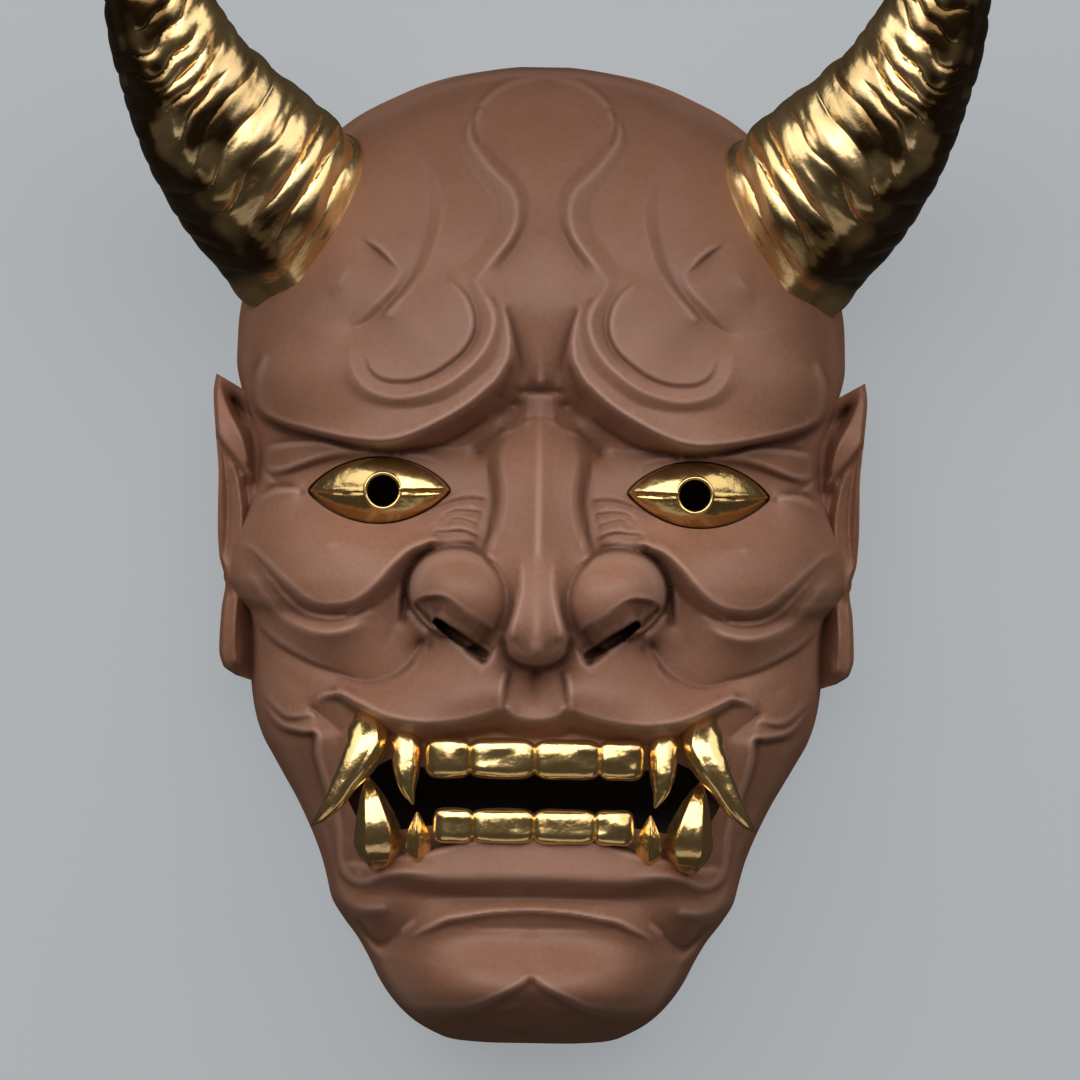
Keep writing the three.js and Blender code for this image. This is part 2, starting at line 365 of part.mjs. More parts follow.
// Hollow: a plain smooth dome that keeps the wood at least about WALL thick under the deepest carving.
const HOLLOW_ROWS = 18, HOLLOW_COLS = 14;
function lowestNear(u, v) {
  let low = faceHeight(u, v);
  for (let ring = 1; ring <= 2; ring++) for (let k = 0; k < 10; k++) {
    const a = 2 * Math.PI * k / 10, r = 4.5 * ring;
    const uu = u + r * Math.cos(a), vv = v + r * Math.sin(a);
    if (vv < CROWN_V && vv > CHIN_V && Math.abs(uu) < halfWidth(vv)) low = Math.min(low, faceHeight(uu, vv));
  }
  return low;
}
const hollow = reliefBlock(HOLLOW_ROWS, HOLLOW_COLS, (i, j) => {
  const top = CROWN_V - WALL - 1.5, bottom = CHIN_V + WALL + 1.5;
  const e = 1 - 2 * i / HOLLOW_ROWS, v = (top + bottom) / 2 + (top - bottom) / 2 * (0.6 * e + 0.4 * Math.sin(e * Math.PI / 2));
  const w = Math.max(Math.min(halfWidth(v), halfWidth(v + 6), halfWidth(v - 6)) - WALL, 3), u = w * across(j, HOLLOW_COLS);
  const edge = j === 0 || j === HOLLOW_COLS || i === 0 || i === HOLLOW_ROWS;
  const z = edge ? 6 : Math.min(lowestNear(u, v) - FRONT_WALL, 57);
  const [x, y] = place(-u, v, EDGE_Z);
  return [x, y, Math.max(z, 6)];
}, -3);
shell = shell.subtract(hollow);

// ---- eyes: an almond pocket with a round hole behind the pupil, and a gilt plate lying in it ----
function almond(grow) {
  const pts = [], n = 8, half = EYE_HALF + grow, tilt = -0.02;
  const upper = (s) => 7.6 * Math.pow(1 - s * s, 0.8), lower = (s) => 7.4 * Math.pow(1 - s * s, 0.85);
  for (let i = 0; i < n; i++) { const s = -1 + 2 * i / n; pts.push([half * s, -(lower(s) + (i ? grow : 0))]); }
  for (let i = 0; i < n; i++) { const s = 1 - 2 * i / n; pts.push([half * s, upper(s) + (i ? grow : 0)]); }
  return pts.map(([u, w]) => [EYE_U + 0.8 + u, EYE_V + tilt * u + w]);
}
const circle = (u, v, r, n) => Array.from({ length: n }, (_, i) => [u + r * Math.cos(2 * Math.PI * i / n), v + r * Math.sin(2 * Math.PI * i / n)]);
const mirrored = (m) => m.mirror([1, 0, 0]);
const eyeBed = (u) => domeHeight(u, EYE_V) - EYE_DROP;
const pocket = cutter(almond(GAP), (u) => eyeBed(u) - 2.6, 95), sight = cutter(circle(EYE_U, EYE_V, PUPIL_R + 0.8, 12), 35, 70);
for (const cut of [pocket, sight]) shell = shell.subtract(cut).subtract(mirrored(cut));

function eyePlate() {
  const n = 8, rows = 4;
  const plate = reliefBlock(rows, 2 * n - 2, (i, j) => {
    const s = 1 - (j + 1) / n, k = i / rows;
    const half = EYE_HALF * s, u = EYE_U + 0.8 + half;
    const top = 7.6 * Math.pow(1 - s * s, 0.8), low = -7.4 * Math.pow(1 - s * s, 0.85);
    const w = top + (low - top) * k, round = Math.sqrt(Math.max(1 - Math.pow(2 * k - 1, 2), 0));
    const z = eyeBed(u) + 0.3 + 4.2 * Math.pow(round, 0.9) * Math.sqrt(Math.max(1 - s * s, 0)) + (i === rows / 2 ? 0.5 : 0);
    return place(-u, EYE_V - 0.02 * half + w, z);
  }, (x) => eyeBed(Math.abs(x) / (1 - 55 / TAPER)) - 2.6 + GAP, true);
  const top = eyeBed(EYE_U) + 5.3;
  const collar = cutter(circle(EYE_U, EYE_V, PUPIL_R + 0.9, 14), top - 6, top), hole = cutter(circle(EYE_U, EYE_V, PUPIL_R, 14), 35, 90);
  return plate.add(collar).subtract(hole);
}
const eye = eyePlate();

// ---- mouth: an opening right through, between the two gum ledges ----
const MOUTH_GAP = [[45, -56.3], [38, -53.4], [33, -50.8], [26, -52.6], [0, -52.6], [-26, -52.6], [-33, -50.8], [-38, -53.4], [-45, -56.3],
  [-41, -64], [-33, -67.5], [-20, -65.5], [0, -65], [20, -65.5], [33, -67.5], [41, -64]];
shell = shell.subtract(cutter(MOUTH_GAP.map(([u, v]) => [u, v]), 30, 95));

// ---- teeth ----
// Stations along a curved tooth: [u, v, lift off the plain dome, half width, half depth], joined by rings.
function horned(stations, sides, row = GUM_ROW) {
  const v = [], t = [], n = stations.length, c = stations.map((s) => new THREE.Vector3(...place(-s[0], s[1], domeHeight(s[0], row) + s[2])));
  for (let i = 0; i < n; i++) {
    const along = new THREE.Vector3().subVectors(c[Math.min(i + 1, n - 1)], c[Math.max(i - 1, 0)]).normalize();
    const flat = new THREE.Vector3().crossVectors(along, new THREE.Vector3(0, 0, 1)).normalize();
    const deep = new THREE.Vector3().crossVectors(flat, along).normalize();
    for (let k = 0; k < sides; k++) {
      const a = 2 * Math.PI * k / sides;
      const p = c[i].clone().addScaledVector(flat, stations[i][3] * Math.cos(a)).addScaledVector(deep, stations[i][4] * Math.sin(a));
      v.push([p.x, p.y, p.z]);
    }
  }
  const first = v.length; v.push(c[0].toArray()); const lastOne = v.length; v.push(c[n - 1].toArray());
  for (let i = 0; i < n - 1; i++) for (let k = 0; k < sides; k++) {
    const k2 = (k + 1) % sides, a = i * sides + k, b = i * sides + k2, d = a + sides, e = b + sides;
    t.push([a, b, e], [a, e, d]);
  }
  for (let k = 0; k < sides; k++) {
    const k2 = (k + 1) % sides;
    t.push([first, k2, k], [lastOne, (n - 1) * sides + k, (n - 1) * sides + k2]);
  }
  const made = solid(geometry(v, t));
  return made.volume() < 0 ? solid(geometry(v, t.map(([a, b, e]) => [a, e, b]))) : made;
}
const TUSK_ROW = -38;
const tuskUpper = horned([[38.6, -41.6, -2.5, 3.4, 3.2], [38.4, -46.2, 1, 4.7, 4.4], [39.4, -51, 4, 4.9, 4.4], [42.6, -56.4, 6.5, 4.0, 3.8],
  [45.2, -60.8, 8.5, 3.1, 3.0], [48.0, -64.1, 10, 2.0, 1.9], [51.2, -66.6, 11, 0.3, 0.3]], 9, TUSK_ROW);
const fangUpper = horned([[29.6, -44.4, 0, 2.4, 2.2], [29.5, -47.6, 2.8, 3.3, 3.0], [29.5, -52.6, 4, 3.0, 2.9], [29.2, -57, 4.6, 2.0, 1.9],
  [27.8, -61.2, 4.6, 0.3, 0.3]], 8);
const fangLower = horned([[35.6, -74.6, 0, 4.4, 2.6], [35.6, -71.4, 2.6, 5.3, 3.8], [36.1, -66, 4.8, 4.8, 4.0], [36.6, -61.2, 5.0, 3.6, 3.0],
  [37.2, -57.6, 4.2, 2.0, 1.8], [38.0, -54.9, 3.2, 0.3, 0.3]], 8);
const toothLower = horned([[26.6, -72.8, 0, 2.3, 1.8], [26.6, -70.4, 2, 2.8, 2.4], [26.6, -67, 3, 2.2, 2.0], [26.4, -63, 3.2, 0.3, 0.3]], 8);

// A front tooth: a rounded block, wider than deep, following the curve of the gum.
const gumHeight = (u) => domeHeight(u, GUM_ROW) - GUM_DROP;
function frontTooth(u, v, halfW, halfH, stand) {
  const block = new THREE.SphereGeometry(1, 8, 4), p = block.attributes.position, q = 0.42;
  const squash = (x) => (Math.abs(x) < 1e-6 ? 0 : Math.sign(x) * Math.pow(Math.abs(x), q));
  for (let i = 0; i < p.count; i++) {
    const [x, y, z] = [squash(p.getX(i)), squash(p.getY(i)), squash(p.getZ(i))], uu = u + halfW * x;
    const [px, py, pz] = place(-uu, v + halfH * y, gumHeight(uu) + GAP - 0.6 + stand * (1 + z) / 2);
    p.setXYZ(i, px, py, pz);
  }
  const made = solid(block);
  return made.volume() < 0 ? solid(block.clone().setIndex([...block.index.array].reverse())) : made;
}
function toothRow(v, halfH, inner, outer, stand) {
  let row = null;
  for (const s of [-1, 1]) for (const [u, w] of [[inner, inner + 0.6], [2 * inner + outer, outer + 0.5]]) {
    const tooth = frontTooth(s * u, v, w, halfH, stand);
    row = row ? row.add(tooth) : tooth;
  }
  return row;
}
const teethUpper = toothRow(-50.4, 4.7, 7.5, 4.9, 8);
const teethLower = toothRow(-66.0, 4.15, 7.1, 4.25, 7.5);

// ---- horns: rings leaning back from the tip, trimmed to the side of the head ----
// [u, v, z of the centre, half chord, chord turn in degrees, lean of the ring from upright]
const HORN = [[55.4, 71.3, 32, 1, 58.4, 54], [62.6, 78.9, 39.5, 0.985, 53.8, 56], [70.2, 86.8, 46.4, 0.925, 50, 59],
  [76.5, 94.4, 52, 0.835, 48.5, 62], [82.6, 103.5, 57.2, 0.73, 46, 65], [87.6, 113.9, 62.2, 0.635, 40.8, 68],
  [92, 126.2, 67.3, 0.52, 34, 71], [96.4, 140, 72.1, 0.375, 28, 74], [100, 152, 75.8, 0.22, 22.5, 76], [102.2, 162, 78.6, 0.05, 20, 77]];
function horn() {
  const sides = 14, v = [], t = [], rings = [];
  const ringAt = ([u, w, z, r, chord, lean]) => {
    const c = new THREE.Vector3(...place(-u, w, z)), g = chord * Math.PI / 180, b = lean * Math.PI / 180;
    const A = new THREE.Vector3(Math.cos(g), Math.sin(g), 0);
    const away = new THREE.Vector3(Math.sin(g), -Math.cos(g), 0);
    const B = away.multiplyScalar(Math.cos(b)).add(new THREE.Vector3(0, 0, Math.sin(b)));
    return { c, A, B, r: HORN_R * r };
  };
  const all = HORN.map(ringAt), base = all[0];
  const inward = new THREE.Vector3().crossVectors(base.A, base.B).normalize();
  if (inward.z > 0) inward.negate();
  all.unshift({ c: base.c.clone().addScaledVector(inward, 15), A: base.A, B: base.B, r: base.r * 0.98 });
  all.forEach(({ c, A, B, r }, i) => {
    for (let k = 0; k < sides; k++) {
      const a = 2 * Math.PI * k / sides, ridge = 1 + 0.05 * Math.cos(a - 2.4) - (i > 1 && i < all.length - 1 ? 0.02 * (i % 2) : 0);
      const p = c.clone().addScaledVector(A, r * ridge * Math.cos(a)).addScaledVector(B, r * ridge * Math.sin(a));
      v.push([p.x, p.y, p.z]);
    }
    rings.push(c);
  });
  const n = all.length, first = v.length; v.push(rings[0].toArray()); const lastOne = v.length; v.push(rings[n - 1].toArray());
  for (let i = 0; i < n - 1; i++) for (let k = 0; k < sides; k++) {
    const k2 = (k + 1) % sides, a = i * sides + k, b = i * sides + k2, d = a + sides, e = b + sides;
    t.push([a, b, e], [a, e, d]);
  }
  for (let k = 0; k < sides; k++) { const k2 = (k + 1) % sides; t.push([first, k2, k], [lastOne, (n - 1) * sides + k, (n - 1) * sides + k2]); }
  let m = solid(geometry(v, t));
  if (m.volume() < 0) m = solid(geometry(v, t.map(([a, b, e]) => [a, e, b])));
  const step = inward.clone().multiplyScalar(-0.55);
  const trimmed = m.subtract(head.translate([step.x, step.y, step.z])).subtract(head);
  return trimmed.decompose().sort((p, q) => q.volume() - p.volume())[0];
}
const hornLeft = horn();

// ---- named pieces ----
const WOOD = { color: 0x8a6350, roughness: 0.55, metalness: 0 }, GILT = { color: 0xd9a94e, roughness: 0.22, metalness: 1 };
const group = new THREE.Group();
group.name = 'oni_mask';
function addPiece(name, manifold, look) {
  const g = back(manifold);
  const mesh = new THREE.Mesh(g, new THREE.MeshStandardMaterial({ color: look.color, roughness: look.roughness, metalness: look.metalness, name }));
  mesh.name = name;
  group.add(mesh);
  return mesh;
}
addPiece('mask_shell', shell, WOOD);
addPiece('horn_left', hornLeft, GILT);
addPiece('horn_right', mirrored(hornLeft), GILT);
addPiece('eye_left', eye, GILT);
addPiece('eye_right', mirrored(eye), GILT);
const seat = (m) => m.subtract(head.translate([0, 0, GAP])).decompose().sort((p, q) => q.volume() - p.volume())[0];
addPiece('teeth_upper', seat(teethUpper), GILT);
addPiece('teeth_lower', seat(teethLower), GILT);
for (const [name, m] of [['tusk_upper', tuskUpper], ['fang_upper', fangUpper], ['fang_lower', fangLower], ['tooth_lower', toothLower]]) {
  const part = seat(m);
  addPiece(name + '_left', part, GILT);
  addPiece(name + '_right', mirrored(part), GILT);
}

// The middle of the whole length, horns included, sits over the origin.
const box = new THREE.Box3().setFromObject(group), midY = (box.min.y + box.max.y) / 2;
for (const mesh of group.children) mesh.geometry.translate(0, -midY, 0);

export default group;
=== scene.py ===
import math
import bpy
import numpy as np
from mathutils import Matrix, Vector


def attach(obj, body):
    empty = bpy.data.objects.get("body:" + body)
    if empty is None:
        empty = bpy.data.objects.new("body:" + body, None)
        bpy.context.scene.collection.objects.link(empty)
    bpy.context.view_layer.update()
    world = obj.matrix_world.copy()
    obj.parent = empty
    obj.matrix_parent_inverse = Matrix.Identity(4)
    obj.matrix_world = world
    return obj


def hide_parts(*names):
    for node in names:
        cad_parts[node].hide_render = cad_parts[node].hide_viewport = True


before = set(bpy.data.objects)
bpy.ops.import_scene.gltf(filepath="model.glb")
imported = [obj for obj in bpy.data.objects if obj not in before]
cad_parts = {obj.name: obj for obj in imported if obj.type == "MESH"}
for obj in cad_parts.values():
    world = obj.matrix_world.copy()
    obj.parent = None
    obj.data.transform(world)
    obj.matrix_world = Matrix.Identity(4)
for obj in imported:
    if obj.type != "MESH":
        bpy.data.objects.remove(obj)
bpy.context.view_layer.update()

# ---------------------------------------------------------------- sizes
UNIT = 0.23          # mm for one drawing unit
ROLL = 0.0157        # the drawing leans this much
TAPER = 1400.0       # mm
MID_Y = 19.26        # mm, pattern origin below the middle of the whole length
EDGE_Z = 12.0        # straight side above the back rim
WALL, FRONT_WALL = 5.0, 6.0
DOME = 3.1
EYE_U, EYE_V, PUPIL_R, EYE_HALF = 35.9, 10.8, 3.6, 16.1
GUM_ROW, GUM_DROP, EYE_DROP = 57.5, 1.6, 4.6
HORN_R = 21.35
S0 = UNIT
def ab(p):
    px,py=p; return ((538-px)-ROLL*(py-555))*S0, ((py-540)+ROLL*(538-px))*S0
def pchip(x,xs,ys):
    xs=np.asarray(xs,float); ys=np.asarray(ys,float)
    h=np.diff(xs); d=np.diff(ys)/h; m=np.zeros(len(xs)); m[0]=d[0]; m[-1]=d[-1]
    for i in range(1,len(xs)-1):
        if d[i-1]*d[i]>0:
            w1=2*h[i]+h[i-1]; w2=h[i]+2*h[i-1]; m[i]=(w1+w2)/(w1/d[i-1]+w2/d[i])
    x=np.clip(x,xs[0],xs[-1]); i=np.clip(np.searchsorted(xs,x)-1,0,len(xs)-2)
    t=(x-xs[i])/h[i]; t2=t*t; t3=t2*t
    return (2*t3-3*t2+1)*ys[i]+(t3-2*t2+t)*h[i]*m[i]+(-2*t3+3*t2)*ys[i+1]+(t3-t2)*h[i]*m[i+1]
def crom(P,n=8,closed=False):
    P=np.asarray(P,float)
    Q=np.vstack([P[-1],P,P[0],P[1]]) if closed else np.vstack([2*P[0]-P[1],P,2*P[-1]-P[-2]])
    out=[]; t=np.arange(n)/n
    for i in range(1,len(Q)-2):
        p0,p1,p2,p3=Q[i-1],Q[i],Q[i+1],Q[i+2]
        out.append(.5*((2*p1)[None]+np.outer(t,-p0+p2)+np.outer(t*t,2*p0-5*p1+4*p2-p3)+np.outer(t**3,-p0+3*p1-3*p2+p3)))
    if not closed: out.append(P[-1:])
    return np.vstack(out)
OUT=[(66.6,0),(67,20),(68,32),(70,48),(80,100),(100,151),(120,188),(145,218),(175,243),(210,265),(250,284),(290,297),(330,303),(365,304),(400,297),(430,289),(455,286),(480,288),(505,294),(530,305),(555,313),(580,314),(600,305),(618,289),(640,286),(680,285),(700,283),(720,279),(740,272),(760,261),(780,249.5),(800,238),(820,228),(840,219),(860,211.5),(880,206),(900,201),(920,189),(940,174),(960,162.5),(980,152.5),(1000,139),(1020,119),(1034,95),(1040,78),(1043,45),(1044,0)]
ZM=[(67,12),(72,22),(85,31),(110,41),(150,51),(200,59.5),(260,66.5),(320,70),(380,70.5),(450,68.5),(520,67.5),(600,68),(680,70),(740,70),(800,68),(860,66.5),(900,65.5),(950,66),(985,65),(1005,62),(1018,55),(1030,43),(1038,30),(1043,16),(1044,12)]
ZE = EDGE_Z
CROWN_B, CHIN_B = (66.6 - 540) * S0, (1044 - 540) * S0
def w_of(b): return pchip(b,[(o[0]-540)*S0 for o in OUT],[o[1]*S0 for o in OUT])
def base(a,b):
    zm=pchip(b,[(z[0]-540)*S0 for z in ZM],[z[1] for z in ZM])
    r=np.clip(np.abs(a)/np.maximum(w_of(b),1e-6),0,1)
    return ZE+(zm-ZE)*np.sqrt(np.maximum(1-r**DOME,0))
def sstep(x,a,b):
    t=np.clip((x-a)/(b-a+1e-12),0,1); return t*t*(3-2*t)
def curve(P,closed=False,n=8):
    C=crom([ab(p) for p in P],n,closed)
    if closed: C=np.vstack([C,C[:1]])
    L=np.sqrt((np.diff(C,axis=0)**2).sum(1)); return C,np.concatenate([[0],np.cumsum(L)])
def pdist(Q,C,cum):
    s=C[:-1]; v=C[1:]-C[:-1]; L=np.maximum(np.sqrt((v**2).sum(1)),1e-9)
    best=np.full(len(Q),1e18); sg=np.ones(len(Q)); tt=np.zeros(len(Q)); over=np.zeros(len(Q))
    for i in range(len(s)):
        rx=Q[:,0]-s[i,0]; ry=Q[:,1]-s[i,1]; u=(rx*v[i,0]+ry*v[i,1])/(L[i]**2); uc=np.clip(u,0,1)
        d2=(rx-uc*v[i,0])**2+(ry-uc*v[i,1])**2; m=d2<best-1e-12
        if not m.any(): continue
        best[m]=d2[m]; sg[m]=np.where(v[i,0]*ry[m]-v[i,1]*rx[m]>=0,1,-1); tt[m]=(cum[i]+uc[m]*L[i])/cum[-1]
        ov=np.zeros(m.sum())
        if i==0: ov=np.where(u[m]<0,-u[m]*L[i],0)
        if i==len(s)-1: ov=np.maximum(ov,np.where(u[m]>1,(u[m]-1)*L[i],0))
        over[m]=ov
    return np.sqrt(best)*sg,tt,over
def inside(Q,C):
    x,y=Q[:,0],Q[:,1]; c=np.zeros(len(Q),bool)
    for i in range(len(C)-1):
        x1,y1=C[i]; x2,y2=C[i+1]
        if y1==y2: continue
        c^=((y1>y)!=(y2>y))&(x<(x2-x1)*(y-y1)/(y2-y1)+x1)
    return c
def along(v,t):
    if np.isscalar(v): return np.full(np.shape(t),float(v))
    v=np.asarray(v,float); n=len(v)
    return np.interp(t,np.linspace(0,1,n),v) if n==2 else pchip(t,np.linspace(0,1,n),v)
# ---------- grid & solver
class Grid:
    def __init__(s,g=0.3,amax=76.0,b0=-109.4,b1=116.4):
        s.g=g; s.na=int(round(amax/g)); s.nb=int(round((b1-b0)/g)); s.b0=b0
        s.a=(np.arange(s.na)+.5)*g; s.b=b0+(np.arange(s.nb)+.5)*g
        s.A,s.B=np.meshgrid(s.a,s.b)   # rows b, cols a
def lap_solve(F,V,k,x,iters):
    """(-lap + k) r = 0 on ~F, r=V on F; CG with Neumann edges"""
    free=~F
    def op(r):
        q=np.empty_like(r); q[:]=k*r
        d=r[1:]-r[:-1]; q[1:]+=d; q[:-1]-=d
        d=r[:,1:]-r[:,:-1]; q[:,1:]+=d; q[:,:-1]-=d
        return q
    x=np.where(F,V,x); R=-op(x); R[F]=0; diag=4+k; P=R/diag; P[F]=0; rs=(R*P).sum(); D=P.copy()
    for it in range(iters):
        Q=op(D); Q[F]=0; al=rs/max((D*Q).sum(),1e-30); x+=al*D; R-=al*Q; Z=R/diag; rn=(R*Z).sum()
        if rn<1e-9: break
        D=Z+(rn/rs)*D; rs=rn
    return x
def solve(lines,G,lam=14.0,H0=None):
    F=np.zeros((G.nb,G.na),bool); V=np.zeros((G.nb,G.na)); Wt=np.zeros((G.nb,G.na))
    D=np.full((G.nb,G.na),1e9)
    for f in lines:
        C,cum=curve(f['p'])
        tp=cum[::(len(cum)-1)//(len(f['p'])-1)]/cum[-1]     # where the drawn points lie along it
        at=lambda v,t: pchip(t,tp,v) if not np.isscalar(v) and len(v)==len(tp) else along(v,t)
        sg=1
        if f.get('hp') is not None:
            d0,_,_=pdist(np.array([ab(f['hp'])]),C,cum); sg=np.sign(d0[0])
        # dense samples -> candidate cells
        n=int(cum[-1]/(G.g*.5))+2; s=np.linspace(0,cum[-1],n); P=np.stack([np.interp(s,cum,C[:,0]),np.interp(s,cum,C[:,1])],1)
        ia=np.floor(P[:,0]/G.g).astype(int); ib=np.floor((P[:,1]-G.b0)/G.g).astype(int)
        one=f['lo'] is None
        wpx=f.get('w') or 0
        wmax=0 if one else float(np.max(wpx))*S0
        q=int(np.ceil((wmax+1.3*G.g)/G.g))+1
        cells=set()
        for di in range(-q,q+1):
            for dj in range(-q,q+1):
                if di*di+dj*dj>(q+1)**2: continue
                A=ia+di; B=ib+dj; m=(A>=0)&(A<G.na)&(B>=0)&(B<G.nb); cells.update((B[m]*G.na+A[m]).tolist())
        c=np.fromiter(cells,int); cb,ca=c//G.na,c%G.na
        Q=np.stack([G.a[ca],G.b[cb]],1); d,t,ov=pdist(Q,C,cum); d=d*sg
        hi=at(f['hi'],t)
        if f.get('z'):
            hi=hi-H0[cb,ca]
        if one:
            m=(np.abs(d)<=.75*G.g)&(ov<G.g); val=hi; key=np.abs(d)
        else:
            lo=at(f['lo'],t)
            if f.get('z'): lo=lo-H0[cb,ca]
            w=at(wpx,t)*S0
            gap=np.abs(hi-lo)<.05
            mh=(d>=-.01)&(d<=1.1*G.g); ml=(d<=-w+.01)&(d>=-w-1.1*G.g)&~gap
            m=(mh|ml)&(ov<G.g); val=np.where(mh,hi,lo); key=np.where(mh,np.abs(d),np.abs(d+w)+.01)
        m&=(key<D[cb,ca]+1e-9)
        cb,ca,val,key=cb[m],ca[m],val[m],key[m]
        F[cb,ca]=True; V[cb,ca]=val; D[cb,ca]=key
    # coarse to fine
    def down(F,V,q):
        nb=(F.shape[0]+q-1)//q; na=(F.shape[1]+q-1)//q
        Fp=np.zeros((nb*q,na*q)); Vp=np.zeros((nb*q,na*q)); Fp[:F.shape[0],:F.shape[1]]=F; Vp[:F.shape[0],:F.shape[1]]=V*F
        c=Fp.reshape(nb,q,na,q).sum((1,3)); v=Vp.reshape(nb,q,na,q).sum((1,3)); return c>0,np.where(c>0,v/np.maximum(c,1),0)
    x=None
    for q,it in((8,120),(4,120),(2,160),(1,260)):
        Fq,Vq=(F,V) if q==1 else down(F,V,q)
        if x is None: x=np.zeros_like(Vq)
        else:
            x=np.repeat(np.repeat(x,2,0),2,1)[:Vq.shape[0],:Vq.shape[1]]
            if x.shape!=Vq.shape:
                y=np.zeros_like(Vq); y[:x.shape[0],:x.shape[1]]=x; y[x.shape[0]:]=y[x.shape[0]-1]; y[:,x.shape[1]:]=y[:,x.shape[1]-1:x.shape[1]]; x=y
        x=lap_solve(Fq,Vq,(G.g*q/lam)**2,x,it)
    return x
def level_along(H,G,C,t):
    n=13; k=np.linspace(0,len(C)-1,n); P=np.stack([np.interp(k,np.arange(len(C)),C[:,i]) for i in (0,1)],1)
    i=np.clip(((P[:,1]-G.b0)/G.g).astype(int),0,G.nb-1); j=np.clip((P[:,0]/G.g).astype(int),0,G.na-1)
    return pchip(t,np.linspace(0,1,n),H[i,j])
